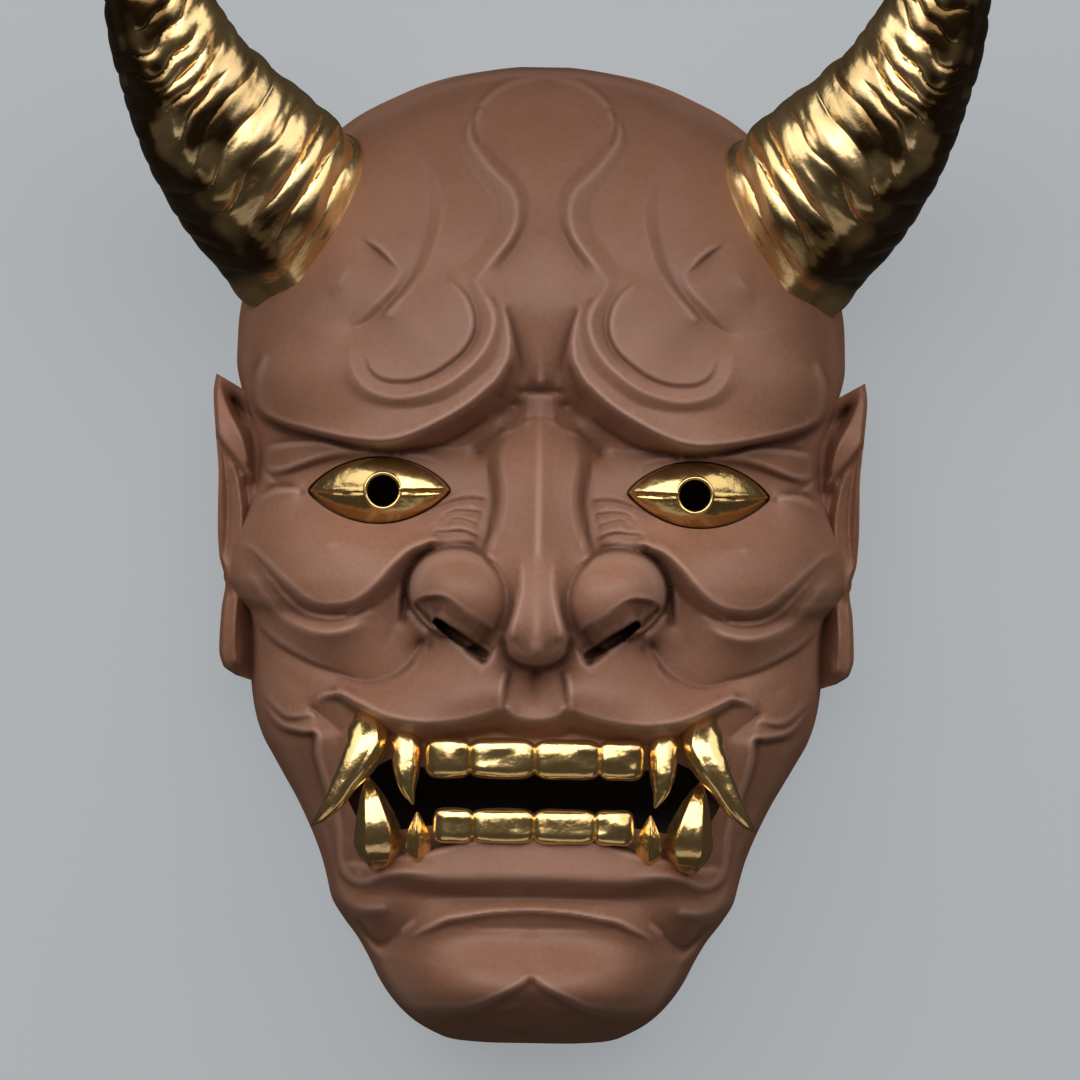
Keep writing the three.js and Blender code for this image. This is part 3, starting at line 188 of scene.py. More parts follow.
def post(H,G,feats):
    A,B=G.A,G.B
    for f in feats:
        k=f['k']
        if k in('blob','ell'):
            c=ab(f['c']); th=np.radians(f['rot']); x=A-c[0]; y=B-c[1]
            X=(x*np.cos(th)+y*np.sin(th))/(f['rx']*S0); Y=(-x*np.sin(th)+y*np.cos(th))/(f['ry']*S0); q=X*X+Y*Y
            if k=='blob': H=H+f['h']*np.exp(-q)
            else:
                m=q<1.6; z=f['z0']+f['h']*np.sqrt(np.maximum(1-q**f.get('pw',1),0))-60*np.maximum(q-1,0); kk=f['sm']; e=np.maximum(kk-np.abs(H-z),0)/kk
                H=np.where(m,np.maximum(H,z)+e*e*kk*.25,H)
            continue
        if k=='soft':
            c=ab(f['c']); th=np.radians(f['rot']); x=A-c[0]; y=B-c[1]
            q=((x*np.cos(th)+y*np.sin(th))/(f['rx']*S0))**2+((-x*np.sin(th)+y*np.cos(th))/(f['ry']*S0))**2
            m=1-sstep(q,.5,1.0); H=H*(1-m)+m*blur(H,f['r']/G.g); continue
        if k=='slope':
            C,cum=curve(f['p']); lo=C.min(0)-f['reach']; hi=C.max(0)+f['reach']; m=(A>=lo[0])&(A<=hi[0])&(B>=lo[1])&(B<=hi[1])
            Q=np.stack([A[m],B[m]],1); d,t,ov=pdist(Q,C,cum); d0,_,_=pdist(np.array([ab(f['hp'])]),C,cum); d=-d*np.sign(d0[0])
            z=np.maximum((np.maximum(level_along(H,G,C,t),71) if f['z'] is None else along(f['z'],t))-f['s']*np.maximum(d,0),69); h=H[m]; on=(d>-.3)&(d<f['reach'])
            kk=.6; e=np.maximum(kk-np.abs(h-z),0)/kk; fade=sstep(f['reach']-d,0,1.5)*(1-sstep(ov,0,1.5))
            new=np.minimum(h,z)-e*e*kk*.25; H[m]=np.where(on,h+(new-h)*fade*sstep(d,-.3,.3),h); continue
        if k=='slot':
            C,cum=curve(f['p']); R=f['w']+f['bank']+1; lo=C.min(0)-R; hi=C.max(0)+R; m=(A>=lo[0])&(A<=hi[0])&(B>=lo[1])&(B<=hi[1])
            Q=np.stack([A[m],B[m]],1); d,t,ov=pdist(Q,C,cum); d0,_,_=pdist(np.array([ab(f['hp'])]),C,cum); d=d*np.sign(d0[0]); h=H[m]
            near=(d>f['w']+.5)&(d<f['w']+1.6)&(ov<=0); fit=np.polyfit(t[near],h[near],1); rim=np.polyval(fit,np.clip(t,0,1))
            bank=(d<0)&(d>-f['w']-f['bank']); lift=1-sstep(-d,f['w']+f['bank']*.4,f['w']+f['bank']); lift=lift*(1-sstep(t,.72,.95)); h=np.where(bank,np.maximum(h,rim-12*(1-lift)),h)
            w=f['w']*(.62+.38*np.sin(np.pi*np.clip(t,0,1))); q=np.abs(d)/w; pit=np.minimum(h,rim)-f['h']*np.sqrt(np.maximum(1-q**2,0)); H[m]=np.where(q<1,np.minimum(h,pit),h); continue
        if k=='loft':
            R=f['rows']; bb=[(r[0]-540)*S0 for r in R]; n=(len(R[0])-1)//2
            ws=[pchip(B,bb,[r[1+2*i]*S0 for r in R]) for i in range(n)]; zs=[pchip(B,bb,[r[2+2*i] for r in R]) for i in range(n)]
            z=np.where(A<=ws[0],zs[0],-1e9)
            # first station is the centre half width with ridge rise
            z=np.where(A<=ws[0],zs[0]+f['rise']*(1-A/np.maximum(ws[0],1e-6)),z)
            for i in range(n-1):
                m=(A>ws[i])&(A<=ws[i+1]); u=(A-ws[i])/np.maximum(ws[i+1]-ws[i],1e-6); z=np.where(m,zs[i]+(zs[i+1]-zs[i])*u,z)
            m=(B>bb[0])&(B<bb[-1]); kk=f['sm']; e=np.maximum(kk-np.abs(H-z),0)/kk
            H=np.where(m,np.maximum(H,z)+e*e*kk*.25,H); continue
        closed=k=='plate'
        C,cum=curve(f['p'],closed)
        R={'groove':lambda:max(np.max(f['wl']),np.max(f['wr']))+.5,'ridge':lambda:3.2*np.max(f['w']),'plate':lambda:.1}[k]()
        lo=C.min(0)-R; hi=C.max(0)+R; m=(A>=lo[0])&(A<=hi[0])&(B>=lo[1])&(B<=hi[1])
        if not m.any(): continue
        Q=np.stack([A[m],B[m]],1); d,t,ov=pdist(Q,C,cum)
        if f.get('hp') is not None:
            d0,_,_=pdist(np.array([ab(f['hp'])]),C,cum); d=d*np.sign(d0[0])
        if k=='plate':
            ins=inside(Q,C); x=np.clip(np.where(ins,np.abs(d),0)/f['w'],0,1); s=np.sqrt(1-(1-x)**2) if f['g'] else x*x*(3-2*x)
            if f.get('fd'):
                p0=np.array(ab(f['fd'][:2])); p1=np.array(ab(f['fd'][2:])); v=p1-p0; s=s*sstep(((Q-p0)@v)/(v@v),0,1)
            H[m]+=f['h']*s; continue
        K=1-sstep(ov,0,1.2)
        if f['t0']>0: K=K*sstep(t,0,f['t0'])
        if f['t1']>0: K=K*sstep(1-t,0,f['t1'])
        if k=='groove':
            w=np.where(d>0,along(f['wl'],t),along(f['wr'],t)); dd=np.sqrt(d*d+f['r']**2)-f['r']
            H[m]+=K*along(f['h'],t)*np.maximum(1-dd/w,0)
        else: H[m]+=K*along(f['h'],t)*np.exp(-(d/along(f['w'],t))**2)
    return H
def blur(Z,r):
    if r<=0: return Z
    k=np.exp(-.5*(np.arange(-int(3*r+1),int(3*r+1)+1)/r)**2); k/=k.sum(); p=len(k)//2
    for ax in(0,1):
        W=np.pad(Z,[(p,p) if ax==0 else (0,0),(p,p) if ax==1 else (0,0)],mode='reflect' if ax==1 else 'edge')
        o=0
        for i,c in enumerate(k): o=o+c*(W[i:i+Z.shape[0]] if ax==0 else W[:,i:i+Z.shape[1]])
        Z=o
    return Z
def build(lines,masses,details,G,lam=14.0,soft=0.35):
    w=w_of(G.B); rr=np.clip(G.A/np.maximum(w,1e-6),0,1)
    H=base(G.A,G.B); H=post(H,G,masses)
    r=solve(lines,G,lam,H)
    H=H+r*(1-sstep(rr,.955,1.0))
    H=blur(H,soft/G.g)
    H=post(H,G,details)
    return H,r

# ---------------------------------------------------------------- carving on the drawing
L=[];M=[];D=[]
def line(name,p,hi,lo=None,hp=None,w=0,z=0): L.append(dict(n=name,p=p,hi=hi,lo=lo,hp=hp,w=w,z=z))
def blob(name,c,rx,ry,rot,h): M.append(dict(k='blob',n=name,c=c,rx=rx,ry=ry,rot=rot,h=h))
def ell(name,c,rx,ry,rot,z0,h,sm=.6,pw=1): D.append(dict(k='ell',n=name,c=c,rx=rx,ry=ry,rot=rot,z0=z0,h=h,sm=sm,pw=pw))
def tent(name,p,hp,h,wl,wr,t0=.12,t1=.12,r=.12): D.append(dict(k='groove',n=name,p=p,hp=hp,h=h,wl=wl,wr=wr,t0=t0,t1=t1,r=r))
def ridge(name,p,h,w,t0=.15,t1=.15): D.append(dict(k='ridge',n=name,p=p,h=h,w=w,t0=t0,t1=t1))
def plate(name,p,h,w,g=1,fd=None): D.append(dict(k='plate',n=name,p=p,h=h,w=w,g=g,fd=fd))
def soft(name,c,rx,ry,rot,r): D.append(dict(k='soft',n=name,c=c,rx=rx,ry=ry,rot=rot,r=r))
def slope(name,p,hp,z,s,reach): D.append(dict(k='slope',n=name,p=p,hp=hp,z=z,s=s,reach=reach))
def slot(name,p,hp,h,w,bank): D.append(dict(k='slot',n=name,p=p,hp=hp,h=h,w=w,bank=bank))
def cx(y): return 538 - .0157 * (y - 555) - .8     # just left of the face axis
# masses
blob('cheek',(325,555),80,45,12,4)
blob('muzzle',(455,690),74,34,6,5)
blob('chin',(480,985),84,40,-4,6)
blob('knob_up',(420,335),44,34,-35,1.6)
blob('temple_pit',(243,345),20,60,0,-3)
blob('brow_out',(300,385),60,45,0,3)
# forehead: centre lobe, roof-shaped S band, leaf
line('lobe_t',[(545,79),(517,81),(500,88),(483,102),(476,120),(481,140)],[.4,1.5,1.9,1.7,1.2,.5],[.4,.3,.2,.1,.1,.3],(540,140),w=3)
line('lobe_s',[(481,140),(500,160),(520,180),(531,203),(527,226),(512,252),(500,270)],[.3,.0,-.3,-.4,-.4,-.2,.8])
line('s_crest',[(470,117),(469,132),(474,146),(491,169),(511,189),(517,210),(511,236),(489,264),(477,281),(484,294)],[.5,1.3,2.0,2.5,2.6,2.7,2.7,2.8,3.0,3.4])
line('s_left',[(481,106),(464,128),(462,152),(476,177),(492,198),(496,215),(489,236),(473,255),(455,272)],[.1,-.2,-.3,-.3,-.3,-.3,-.2,.2,.9])
line('leaf',[(414,146),(420,166),(426,183),(428,207),(425,238),(411,276),(391,302),(371,320),(350,330)],[.1,-.3,-.7,-1.1,-1.4,-1.4,-1.1,-.6,.8])
line('leaf_r',[(422,148),(434,172),(442,195),(443,213),(440,230),(435,247),(426,269),(409,292),(388,314)],[.1,.3,.5,.7,.8,.8,.8,.9,1.3])
line('leaf_l',[(405,262),(391,287),(371,307),(350,329)],[-.2,.6,.9,.6])
line('horn_w',[(360,236),(381,251),(400,271)],[0,1.0,.1],[0,-1.2,.1],(400,250),w=2)
line('facet',[(354,258),(342,278),(328,298)],[.6,2.0,.8])
line('plane_l',[(296,322),(320,332)],[1.8,2.2])
# brow knob, the scoop round it and its outer strip
line('knob',[(452,282),(466,298),(473,317),(471,335),(460,352),(436,370),(416,378),(398,380),(382,377),(371,369),(366,355)],[2.2,3.4,4.2,4.6,4.9,5.2,5.4,5.4,5.2,4.7,3.8],[1.4,1.8,2.3,2.7,3.2,3.8,4.1,4.2,4.2,3.9,3.5],(420,325),w=[1,3,3,3,3,3,3,3,3,2,1])
line('crest',[(484,295),(491,306),(494,324),(484,350),(461,374),(435,390),(402,398),(376,394),(360,383),(352,366),(351,350)],[3.4,4.6,5.5,6.0,6.3,6.3,6.2,6.0,5.5,4.6,3.4])
line('strip_out',[(494,298),(502,310),(505,326),(502,345),(491,367),(461,391),(435,404),(395,408),(360,400),(344,384)],[2.0,2.6,3.4,4.2,4.6,4.8,4.8,4.8,4.7,4.2])
line('flange',[(500,299),(507,316),(510.5,335),(510,352),(507,364)],[1.9,3.2,4.4,5.1,5.4])
# brow: crisp lower edge over a wide underside that runs into the eye socket
line('brow',[(507,363),(500,376),(491,386),(468,405),(437,423),(407,437),(381,442),(345,439),(310,431),(280,422),(260,411),(254,395),(257,375),(264,358)],[5.4,5.8,6.2,7.0,7.8,8.0,8.0,7.8,7.6,7.0,6.2,5.0,3.8,2.4],[1.0,-1.5,-4.5,-7.6,-8.4,-7.4,-5.8,-5,-4.4,-4.2,-3.6,-2.6,-1.4,.2],(420,400),w=[5,9,14,22,22,14,9,5,4,4,4,4,4,3])
line('side_crease',[(507,310),(514,328),(519.5,348),(522.5,366),(523,386)],[1.0,-.4,-2.0,-3.4,-4.6])
line('mid',[(cx(y),y) for y in (235,290,340,383)],[.3,.2,-.9,-2.8])
line('mid_l',[(512,262),(508,290)],[.5,.9])
line('val_dark',[(520,392),(530,391.5),(547,391.5)],[-6.6,-7.2,-7.2])
line('val_lip',[(527,395),(533,395),(547,395)],[-6.0,-5.8,-5.8])
line('strip',[(528,399),(528,410),(526,419)],[-6.0,-5.6,-4.8])
line('strip_c',[(cx(y),y) for y in (398,410,420)],[-5.7,-5.0,-4.0])
line('corner',[(519,403),(508,408),(497,417)],[-8,-9,-9.4])
# nose root, bridge and tip (heights above the rim)
line('root',[(478,453),(490,443),(499,436),(509,430),(520,425),(530,421),(547,420)],[58.5,61,63,64.4,65.2,65.8,66.0],[58.0,59.6,60.8,61.6,62.8,64.4,65.2],(538,470),w=3,z=1)
line('nose_mid',[(cx(y),y) for y in (421,440,460,490,520,545,575,600,625,640,650,657,661)],[66.4,69.6,73,77.2,80.6,83.6,87.4,90.0,91.6,92.0,91.0,88.6,85.4],z=1)
line('col_edge',[(519,548),(522,560),(522.8,573),(521,592),(515,612),(511,628),(511.5,637)],[80.4,83.0,85.8,88.0,89.0,89.4,89.0],z=1)
line('nose_edge',[(508,440),(503,455),(502,471),(503,496),(499,525),(491,548)],[65.6,68.2,70.6,73.4,75.2,76.0],z=1)
line('nose_base',[(486,458),(490,470),(494,487),(495,506),(490,528),(482,549)],[62,63,64.4,65.8,67.8,70],z=1)
line('tip_crease',[(488,555),(502,571),(510,588),(512,605),(509,619),(503,632)],[77,79.5,81.5,82.5,82,80],z=1)
line('tip_low',[(503,643),(505.5,654),(512,661.5),(520,666),(531,668),(547,668)],[76,74,72.6,71.6,71,70.8],z=1)
line('tip_side',[(509,640),(512,649),(518,655.5),(527,660),(547,661)],[86,85,84.6,84.8,85.2],z=1)
# socket and lids
line('socket',[(430,452),(455,449),(474,442)],[-7,-8.6,-9.2])
line('pocket',[(262,425),(285,434),(306,438)],[-4.6,-5.0,-4.8])
line('lid_top',[(266,450),(273,446),(297,442),(320,441),(342,446),(362,452)],[-2.6,-1.4,-.9,-.9,-2.0,-3.6],[-2.6,-4.0,-4.6,-4.6,-4.8,-4.2],(310,455),w=2)
line('lid_low',[(258,464),(271,471),(285,470),(300,465),(317,459),(333,455),(351,453),(385,451),(420,456),(440,464)],[-2,-.9,-.4,-.4,-.6,-1.2,-2.2,-4.2,-5.4,-6.0],[-2,-2.8,-3.4,-3.8,-4.0,-4.2,-4.4,-4.8,-5.6,-6.0],(320,450),w=3)
line('eye',[(303,490),(313,476),(337,463),(374,460),(405,466),(430,481),(446,495),(422,511),(397,521),(379,524),(351,520),(323,507),(303,490)],[-4.0,-4.2,-4.6,-4.8,-4.8,-4.8,-4.8,-4,-3.6,-3.4,-3.4,-3.6,-4.0])
line('cheek_top',[(246,512),(254,501),(273,490),(290,488),(304,490)],[0,1.8,2.2,.8,-2.6],[0,-1.8,-2.8,-3.2,-3.2],(290,520),w=2.5)
line('lid_line',[(256,460),(264,472),(276,483),(292,486)],[-1.6,-1.2,-2.2,-3],[-1.6,-2.8,-3.6,-3],(240,480),w=2)
line('tear_low',[(428,545),(452,544),(472,546)],[-1.5,-2,-3])
line('under_eye',[(330,545),(380,545),(425,530)],[1.6,.4,-2.2])
# cheek: three overlapping lips over one broad dark underside
line('c1',[(228,542),(250,547),(262,557),(287,582),(310,601),(333,605),(357,599),(378,582),(388,570),(400,558),(413,548),(436,541)],[.2,1.4,2.6,4.8,6.4,6.6,6.2,5.2,4.4,3.6,2.4,.2],[.1,.4,.8,1.8,2.4,2.0,.2,-2.6,-4.2,-5.6,-4.8,-.6],(330,560),w=[2,4,5,7,9,10,14,18,18,16,12,3])
line('c2',[(228,549),(248,554),(267,575),(295,607),(320,617),(347,616),(370,608)],[.2,.8,1.9,3.2,3.8,3.2,.6],[.1,.3,1.1,2.0,2.5,2.2,.6],(300,580),w=3)
line('c3',[(232,558),(252,577),(268,601),(288,620),(317,632),(342,631),(368,621)],[.5,1.7,3.2,4.2,4.8,4.0,.4])
line('c4',[(227,590),(250,617),(277,641),(310,660),(343,672),(368,679),(388,675),(403,667),(415,655),(422,642)],[.5,1.0,.2,-2.2,-4.8,-6.6,-7.2,-7.4,-7.4,-7.2],[.2,-1.0,-2.6,-4.4,-6.0,-6.9,-7.3,-7.5,-7.4,-7.2],(330,640),w=2)
line('roll_l',[(233,575),(252,600),(272,622)],[.8,1.4,1.2])
line('roll_in',[(400,584),(398,606),(394,628),(384,648)],[-3.4,-3.4,-3.6,-4.2])
line('valley',[(430,552),(418,565),(410,582),(405,600),(404,620)],[-5.0,-7.8,-8.8,-7.6,-5.6])
line('wing_foot',[(409,612),(417,623),(427,634)],[65,66,67.5],z=1)
line('below_c4',[(262,652),(300,686),(335,690)],[-1.6,-2.6,-2.6])
line('side_v',[(252,622),(252,655),(256,684)],[0,.9,0],[0,-.4,0],(240,650),w=2)
# upper lip
line('muz_up',[(430,646),(405,678),(383,690),(352,690)],[-5.4,-4.4,-3.4,-2.6])
line('lip_up',[(315,700),(337,693),(355,701),(380,714),(400,720),(427,723),(460,720),(486,713),(504,706),(515,716),(534,720),(547,720)],[-2,1.0,2.4,4.4,5.4,5.8,5.6,5.4,5.2,4.4,4.2,4.2],[-2,-3,-3.2,-2.8,-2.6,-2.6,-2.6,-2.6,-2.6,-2.6,-2.6,-2.6],(430,700),w=[3,6,9,12,16,18,18,20,22,20,18,18])
line('phil',[(509,670),(505,680),(503,693),(501,708)],[1.6,5.0,5.8,5.5],[.6,1.6,3.2,4.4],(480,690),w=3)
line('phil_m',[(cx(y),y) for y in (674,690,708)],[-3.6,-1.0,3.2])
# mouth corner folds
line('l1',[(254,690),(267,700),(288,717),(313,714)],[0,1.2,1.4,-1],[0,-.2,-.6,-1],(300,700),w=2)
line('l3',[(256,697),(265,707),(280,725),(303,732),(316,733),(317,753),(321,770),(328,795),(327,826)],[.0,.9,1.6,1.8,1.8,1.8,1.8,1.6,.8],[0,-.8,-1.6,-2.2,-2.2,-1.6,-1.2,-1.0,.4],(290,715),w=3)
line('l_dark',[(312,708),(325,718),(340,730)],[-3.4,-4.2,-4.4])
line('l_in',[(339,740),(337,780),(338,812),(342,838)],[-3,-.2,1.4,2.0],[-3.2,-2.2,-.8,.4],(325,790),w=4)
# lower lip
line('lipl_top',[(346,862),(369,863),(387,859),(400,855),(421,853),(440,848),(461,841),(480,837),(500,836),(545,836)],[2.4,3.0,3.2,3.4,3.8,4.0,4.2,4.4,4.4,4.4],[1.2,-.4,-1.2,-1.6,-1.6,-1.6,-1.6,-1.6,-1.6,-1.6],(440,865),w=2)
line('lipl_low',[(338,835),(340,862),(346,876),(357,883),(368,883),(378,878),(390,875),(404,874),(418,876),(435,878),(456,879),(545,879)],[2.0,3.0,3.8,4.6,5.2,5.8,6.2,6.6,6.9,7.0,7.0,7.0],[1.6,1.4,1.4,1.8,2.2,2.4,2.6,2.8,3.0,3.0,3.0,3.0],(440,862),w=[2,3,3,4,5,6,7,8,8,8,8,8])
line('lipl_foot',[(362,896),(384,893),(404,892),(435,895),(470,897),(545,897)],[1.4,.4,-.4,-1.0,-1.2,-1.2])
line('strip_top',[(402,930),(414,919),(428,911),(447,905),(473,902),(500,902),(545,902)],[-.2,.2,.4,.5,.4,.3,.3])
line('strip_low',[(408,944),(421,933),(432,927),(447,920),(465,917),(482,914),(499,912),(545,910)],[-.5,1.4,2.4,2.9,2.9,2.8,2.7,2.6],[-.5,-.2,.0,.0,.0,.0,.0,.0],(450,905),w=[2,4,5,5,5,5,5,5])
line('strip_foot',[(420,947),(440,939),(465,933),(500,929),(545,928)],[-1.0,-1.7,-2.2,-2.4,-2.4])
line('strip_foot2',[(432,960),(465,950),(500,945),(545,944)],[-1.2,-2.2,-2.6,-2.6])
soft('lipband',(480,889),130,20,0,.8)
soft('crescent',(485,948),100,22,0,1.4)
soft('tip_soft',(537,650),34,18,0,.7)
soft('col_soft',(536.5,600),12,54,0,.9)
soft('mid_soft',(537.5,478),9,64,0,.45)
soft('edge_soft',(500,492),14,60,0,.8)
soft('corner_soft',(502,414),26,15,-30,.8)
tent('chin_mid',[(530,925),(530,950),(530,980)],(500,950),-.55,2.4,2.4,t0=.35,t1=.25,r=.5)
line('chin_edge',[(384,992),(392,999),(404,1006),(421,1011),(439,1013),(456,1011),(473,1007),(491,999),(508,991),(522,983),(531,973)],[.0,.8,1.7,2.2,2.4,2.4,2.3,2.1,1.8,1.2,.5],[-.1,-.7,-1.2,-1.9,-2.3,-2.4,-2.3,-2.0,-1.6,-1.1,-.2],(450,980),w=[2,4,6,7,7,7,7,7,7,6,4])
line('chin_under',[(420,1024),(460,1022),(500,1014),(545,1002)],[-2,-3,-3.4,-3.6])
line('jaw_crest',[(326,840),(329,870),(334,890),(345,903),(364,910),(384,908)],[1.2,2.4,3.6,4.4,4.0,1.6])
line('jaw_side',[(340,914),(352,930),(368,948),(380,958)],[1.2,1.8,2.0,1.2])
line('jaw_v',[(357,922),(367,935),(377,943),(387,941),(396,933),(405,925),(414,916)],[-2.4,-5.6,-7.0,-6.4,-4.4,-2.4,-.4])
# details
ell('wing',(463,595),54,45,-22,70.5,16.8,2.2,1.1)
slope('wing_under',[(411,606),(418,600.6),(428,597),(444,597.4),(460,605.5),(476,616.7),(491,628.6),(500,635)],(455,580),None,1.45,8.2)
slot('nostril',[(437,622),(446,629),(460,638.5),(473,647),(485,654)],(452,665),5.0,1.3,3.4)
tent('tear1',[(417,518),(437,509),(456,502),(471,500),(489,502)],(450,490),-.85,.9,2.4)
tent('tear2',[(436,524),(448,515),(462,512),(484,514)],(450,500),-.85,.8,2.2,t0=.3)
tent('tear3',[(440,527),(448,523),(458,520),(480,526)],(450,510),-.7,.7,1.6,t0=.3)
tent('tear4',[(430,534),(445,533),(460,532),(471,535),(481,541)],(450,520),-.7,.7,1.5)

# ear, heights above the rim
E=[]
def ear_line(p,hi,lo=None,hp=None,w=0): E.append(dict(n='e',p=p,hi=hi,lo=lo,hp=hp,w=w,z=1))
# e_rim
ear_line([(213,378),(211,400),(212,418),(214,440),(216,467),(217,498),(216,529),(217,552),(221,572),(227,588)],[21,26,28,29.5,30,30,29.5,28.5,27,25])
ear_line([(221,384),(229,404),(236,420),(243,440),(248,462)],[24,29,32,33.5,33])
ear_line([(211,420),(217,432),(227,447),(237,460),(245,470),(252,478)],[29,30.5,31.5,32,32,31],[27,27,27,27,28,29],(235,430),w=3)
ear_line([(232,391),(238,398),(243,410)],[14,13,15])
ear_line([(249,418),(253,440),(255,473),(256,520),(256,590)],[24,25,27,27,25])
ear_line([(222,450),(227,480),(228,520),(224,556)],[26,25.5,25.5,25.5])
ear_line([(233,465),(239,490),(242,520),(238,552),(231,580)],[30,30.5,31,29.5,27])
ear_line([(246,480),(249,510),(248,550),(244,585)],[26,26,26,25])
ear_line([(229,592),(225,610),(222,633),(222,660),(226,668),(236,676),(247,678)],[24,24.5,25,24.5,23,21,20])
ear_line([(237,600),(234,630),(235,660)],[27.5,28.5,27])
ear_line([(241,603),(240,632),(241,662)],[25.5,26.5,25.5])
ear_line([(250,600),(252,618),(253,650),(253,674)],[22,20,19,18])

# ---------------------------------------------------------------- the carved height field
SHEET = Grid(0.25)
HEIGHT, _ = build(L, M, D, SHEET)
PLAIN = base(SHEET.A, SHEET.B)
OVER = HEIGHT - PLAIN


def sample(field, a, b):
    u = np.clip(np.abs(a) / SHEET.g - .5, 0, SHEET.na - 1.001)
    v = np.clip((b - SHEET.b0) / SHEET.g - .5, 0, SHEET.nb - 1.001)
    i, j = np.floor(v).astype(int), np.floor(u).astype(int)
    fv, fu = v - i, u - j
    return (field[i, j] * (1 - fv) * (1 - fu) + field[i + 1, j] * fv * (1 - fu)
            + field[i, j + 1] * (1 - fv) * fu + field[i + 1, j + 1] * fv * fu)


def face(a, b):
    return np.maximum(base(a, b) + sample(OVER, a, b), EDGE_Z)


def place(a, b, z):
    """Pattern (a to the left of the face, b down) and height, in mm, to metres in the frame."""
    a, b, z = np.broadcast_arrays(np.asarray(a, float), np.asarray(b, float), np.asarray(z, float))
    k = 1 - z / TAPER
    return np.stack([-a * k, -b * k - MID_Y, z], -1) * .001


def unplace(p):
    z = p[:, 2] * 1000
    k = 1 - z / TAPER
    return -p[:, 0] * 1000 / k, -(p[:, 1] * 1000 + MID_Y) / k, z


# ---------------------------------------------------------------- mesh helpers
def new_mesh(name, verts, faces):
    me = bpy.data.meshes.new(name)
    me.from_pydata(np.asarray(verts, float).tolist(), [], faces)
    me.validate()
    ob = bpy.data.objects.new(name, me)
    bpy.context.scene.collection.objects.link(ob)
    return ob


def flip_if_inside_out(ob):
    me = ob.data
    me.calc_loop_triangles()
    co = np.zeros(len(me.vertices) * 3); me.vertices.foreach_get("co", co); co = co.reshape(-1, 3)
    t = np.zeros(len(me.loop_triangles) * 3, np.int32); me.loop_triangles.foreach_get("vertices", t); t = t.reshape(-1, 3)
    v = np.einsum('ij,ij->i', co[t[:, 0]], np.cross(co[t[:, 1]], co[t[:, 2]])).sum()
    if v < 0:
        me.flip_normals()
    return ob


def sheet_solid(name, P, floor):
    """Closed block: a (rows, cols, 3) sheet of points on top, straight sides, and the same grid flattened to floor."""
    R, C = P.shape[:2]
    Q = P.copy(); Q[..., 2] = floor
    idx = np.arange(R * C).reshape(R, C)
    a, b, c, d = idx[:-1, :-1], idx[1:, :-1], idx[1:, 1:], idx[:-1, 1:]
    top = np.stack([a, b, c, d], -1).reshape(-1, 4)
    low = (top + R * C)[:, ::-1]
    ring = np.concatenate([idx[0, :-1], idx[:-1, -1], idx[-1, :0:-1], idx[:0:-1, 0]])
    nxt = np.roll(ring, -1)
    side = np.stack([ring, nxt, nxt + R * C, ring + R * C], -1)
    ob = new_mesh(name, np.concatenate([P.reshape(-1, 3), Q.reshape(-1, 3)]), np.concatenate([top, low, side]).tolist())
    return flip_if_inside_out(ob)


def strip_solid(name, P, floor):
    """The same, with an underside of one strip to each row (for the large head block)."""
    R, C = P.shape[:2]
    n = R * C
    idx = np.arange(n).reshape(R, C)
    a, b, c, d = idx[:-1, :-1], idx[1:, :-1], idx[1:, 1:], idx[:-1, 1:]
    faces = np.stack([a, b, c, d], -1).reshape(-1, 4).tolist()
    left = P[:, 0].copy(); right = P[:, -1].copy(); left[:, 2] = floor; right[:, 2] = floor
    li = n + np.arange(R); ri = n + R + np.arange(R)
    for i in range(R - 1):
        faces.append([int(idx[i, 0]), int(li[i]), int(li[i + 1]), int(idx[i + 1, 0])])
        faces.append([int(idx[i, -1]), int(idx[i + 1, -1]), int(ri[i + 1]), int(ri[i])])
        faces.append([int(li[i]), int(ri[i]), int(ri[i + 1]), int(li[i + 1])])
    faces.append([int(q) for q in idx[0, :]] + [int(ri[0]), int(li[0])])
    faces.append([int(q) for q in idx[-1, ::-1]] + [int(li[-1]), int(ri[-1])])
    return flip_if_inside_out(new_mesh(name, np.concatenate([P.reshape(-1, 3), left, right]), faces))


def tube_solid(name, rings):
    """Closed body through (n, sides, 3) rings, with a fan at each end."""
    n, s = rings.shape[:2]
    idx = np.arange(n * s).reshape(n, s)
    nx = np.roll(idx, -1, 1)
    quads = np.stack([idx[:-1], nx[:-1], nx[1:], idx[1:]], -1).reshape(-1, 4).tolist()
    v = np.concatenate([rings.reshape(-1, 3), rings[0].mean(0)[None], rings[-1].mean(0)[None]])
    f0, f1 = n * s, n * s + 1
    for k in range(s):
        quads.append([f0, int(nx[0, k]), int(idx[0, k])])
        quads.append([f1, int(idx[-1, k]), int(nx[-1, k])])
    return flip_if_inside_out(new_mesh(name, v, quads))


def cutter(name, loop, z0, z1):
    """Straight-sided body through a closed loop of (a, b) points; z0 may be a function of a."""
    loop = np.asarray(loop, float)
    za = np.array([z0(a) if callable(z0) else z0 for a in loop[:, 0]])
    lo = place(loop[:, 0], loop[:, 1], za); hi = place(loop[:, 0], loop[:, 1], np.full(len(loop), float(z1)))
    n = len(loop)
    faces = [list(range(n)), list(range(2 * n - 1, n - 1, -1))]
    for i in range(n):
        j = (i + 1) % n
        faces.append([j, i, i + n, j + n])
    return flip_if_inside_out(new_mesh(name, np.concatenate([lo, hi]), faces))


def bake(ob):
    dg = bpy.context.evaluated_depsgraph_get()
    me = bpy.data.meshes.new_from_object(ob.evaluated_get(dg))
    ob.modifiers.clear()
    old = ob.data
    ob.data = me
    bpy.data.meshes.remove(old)
    return ob


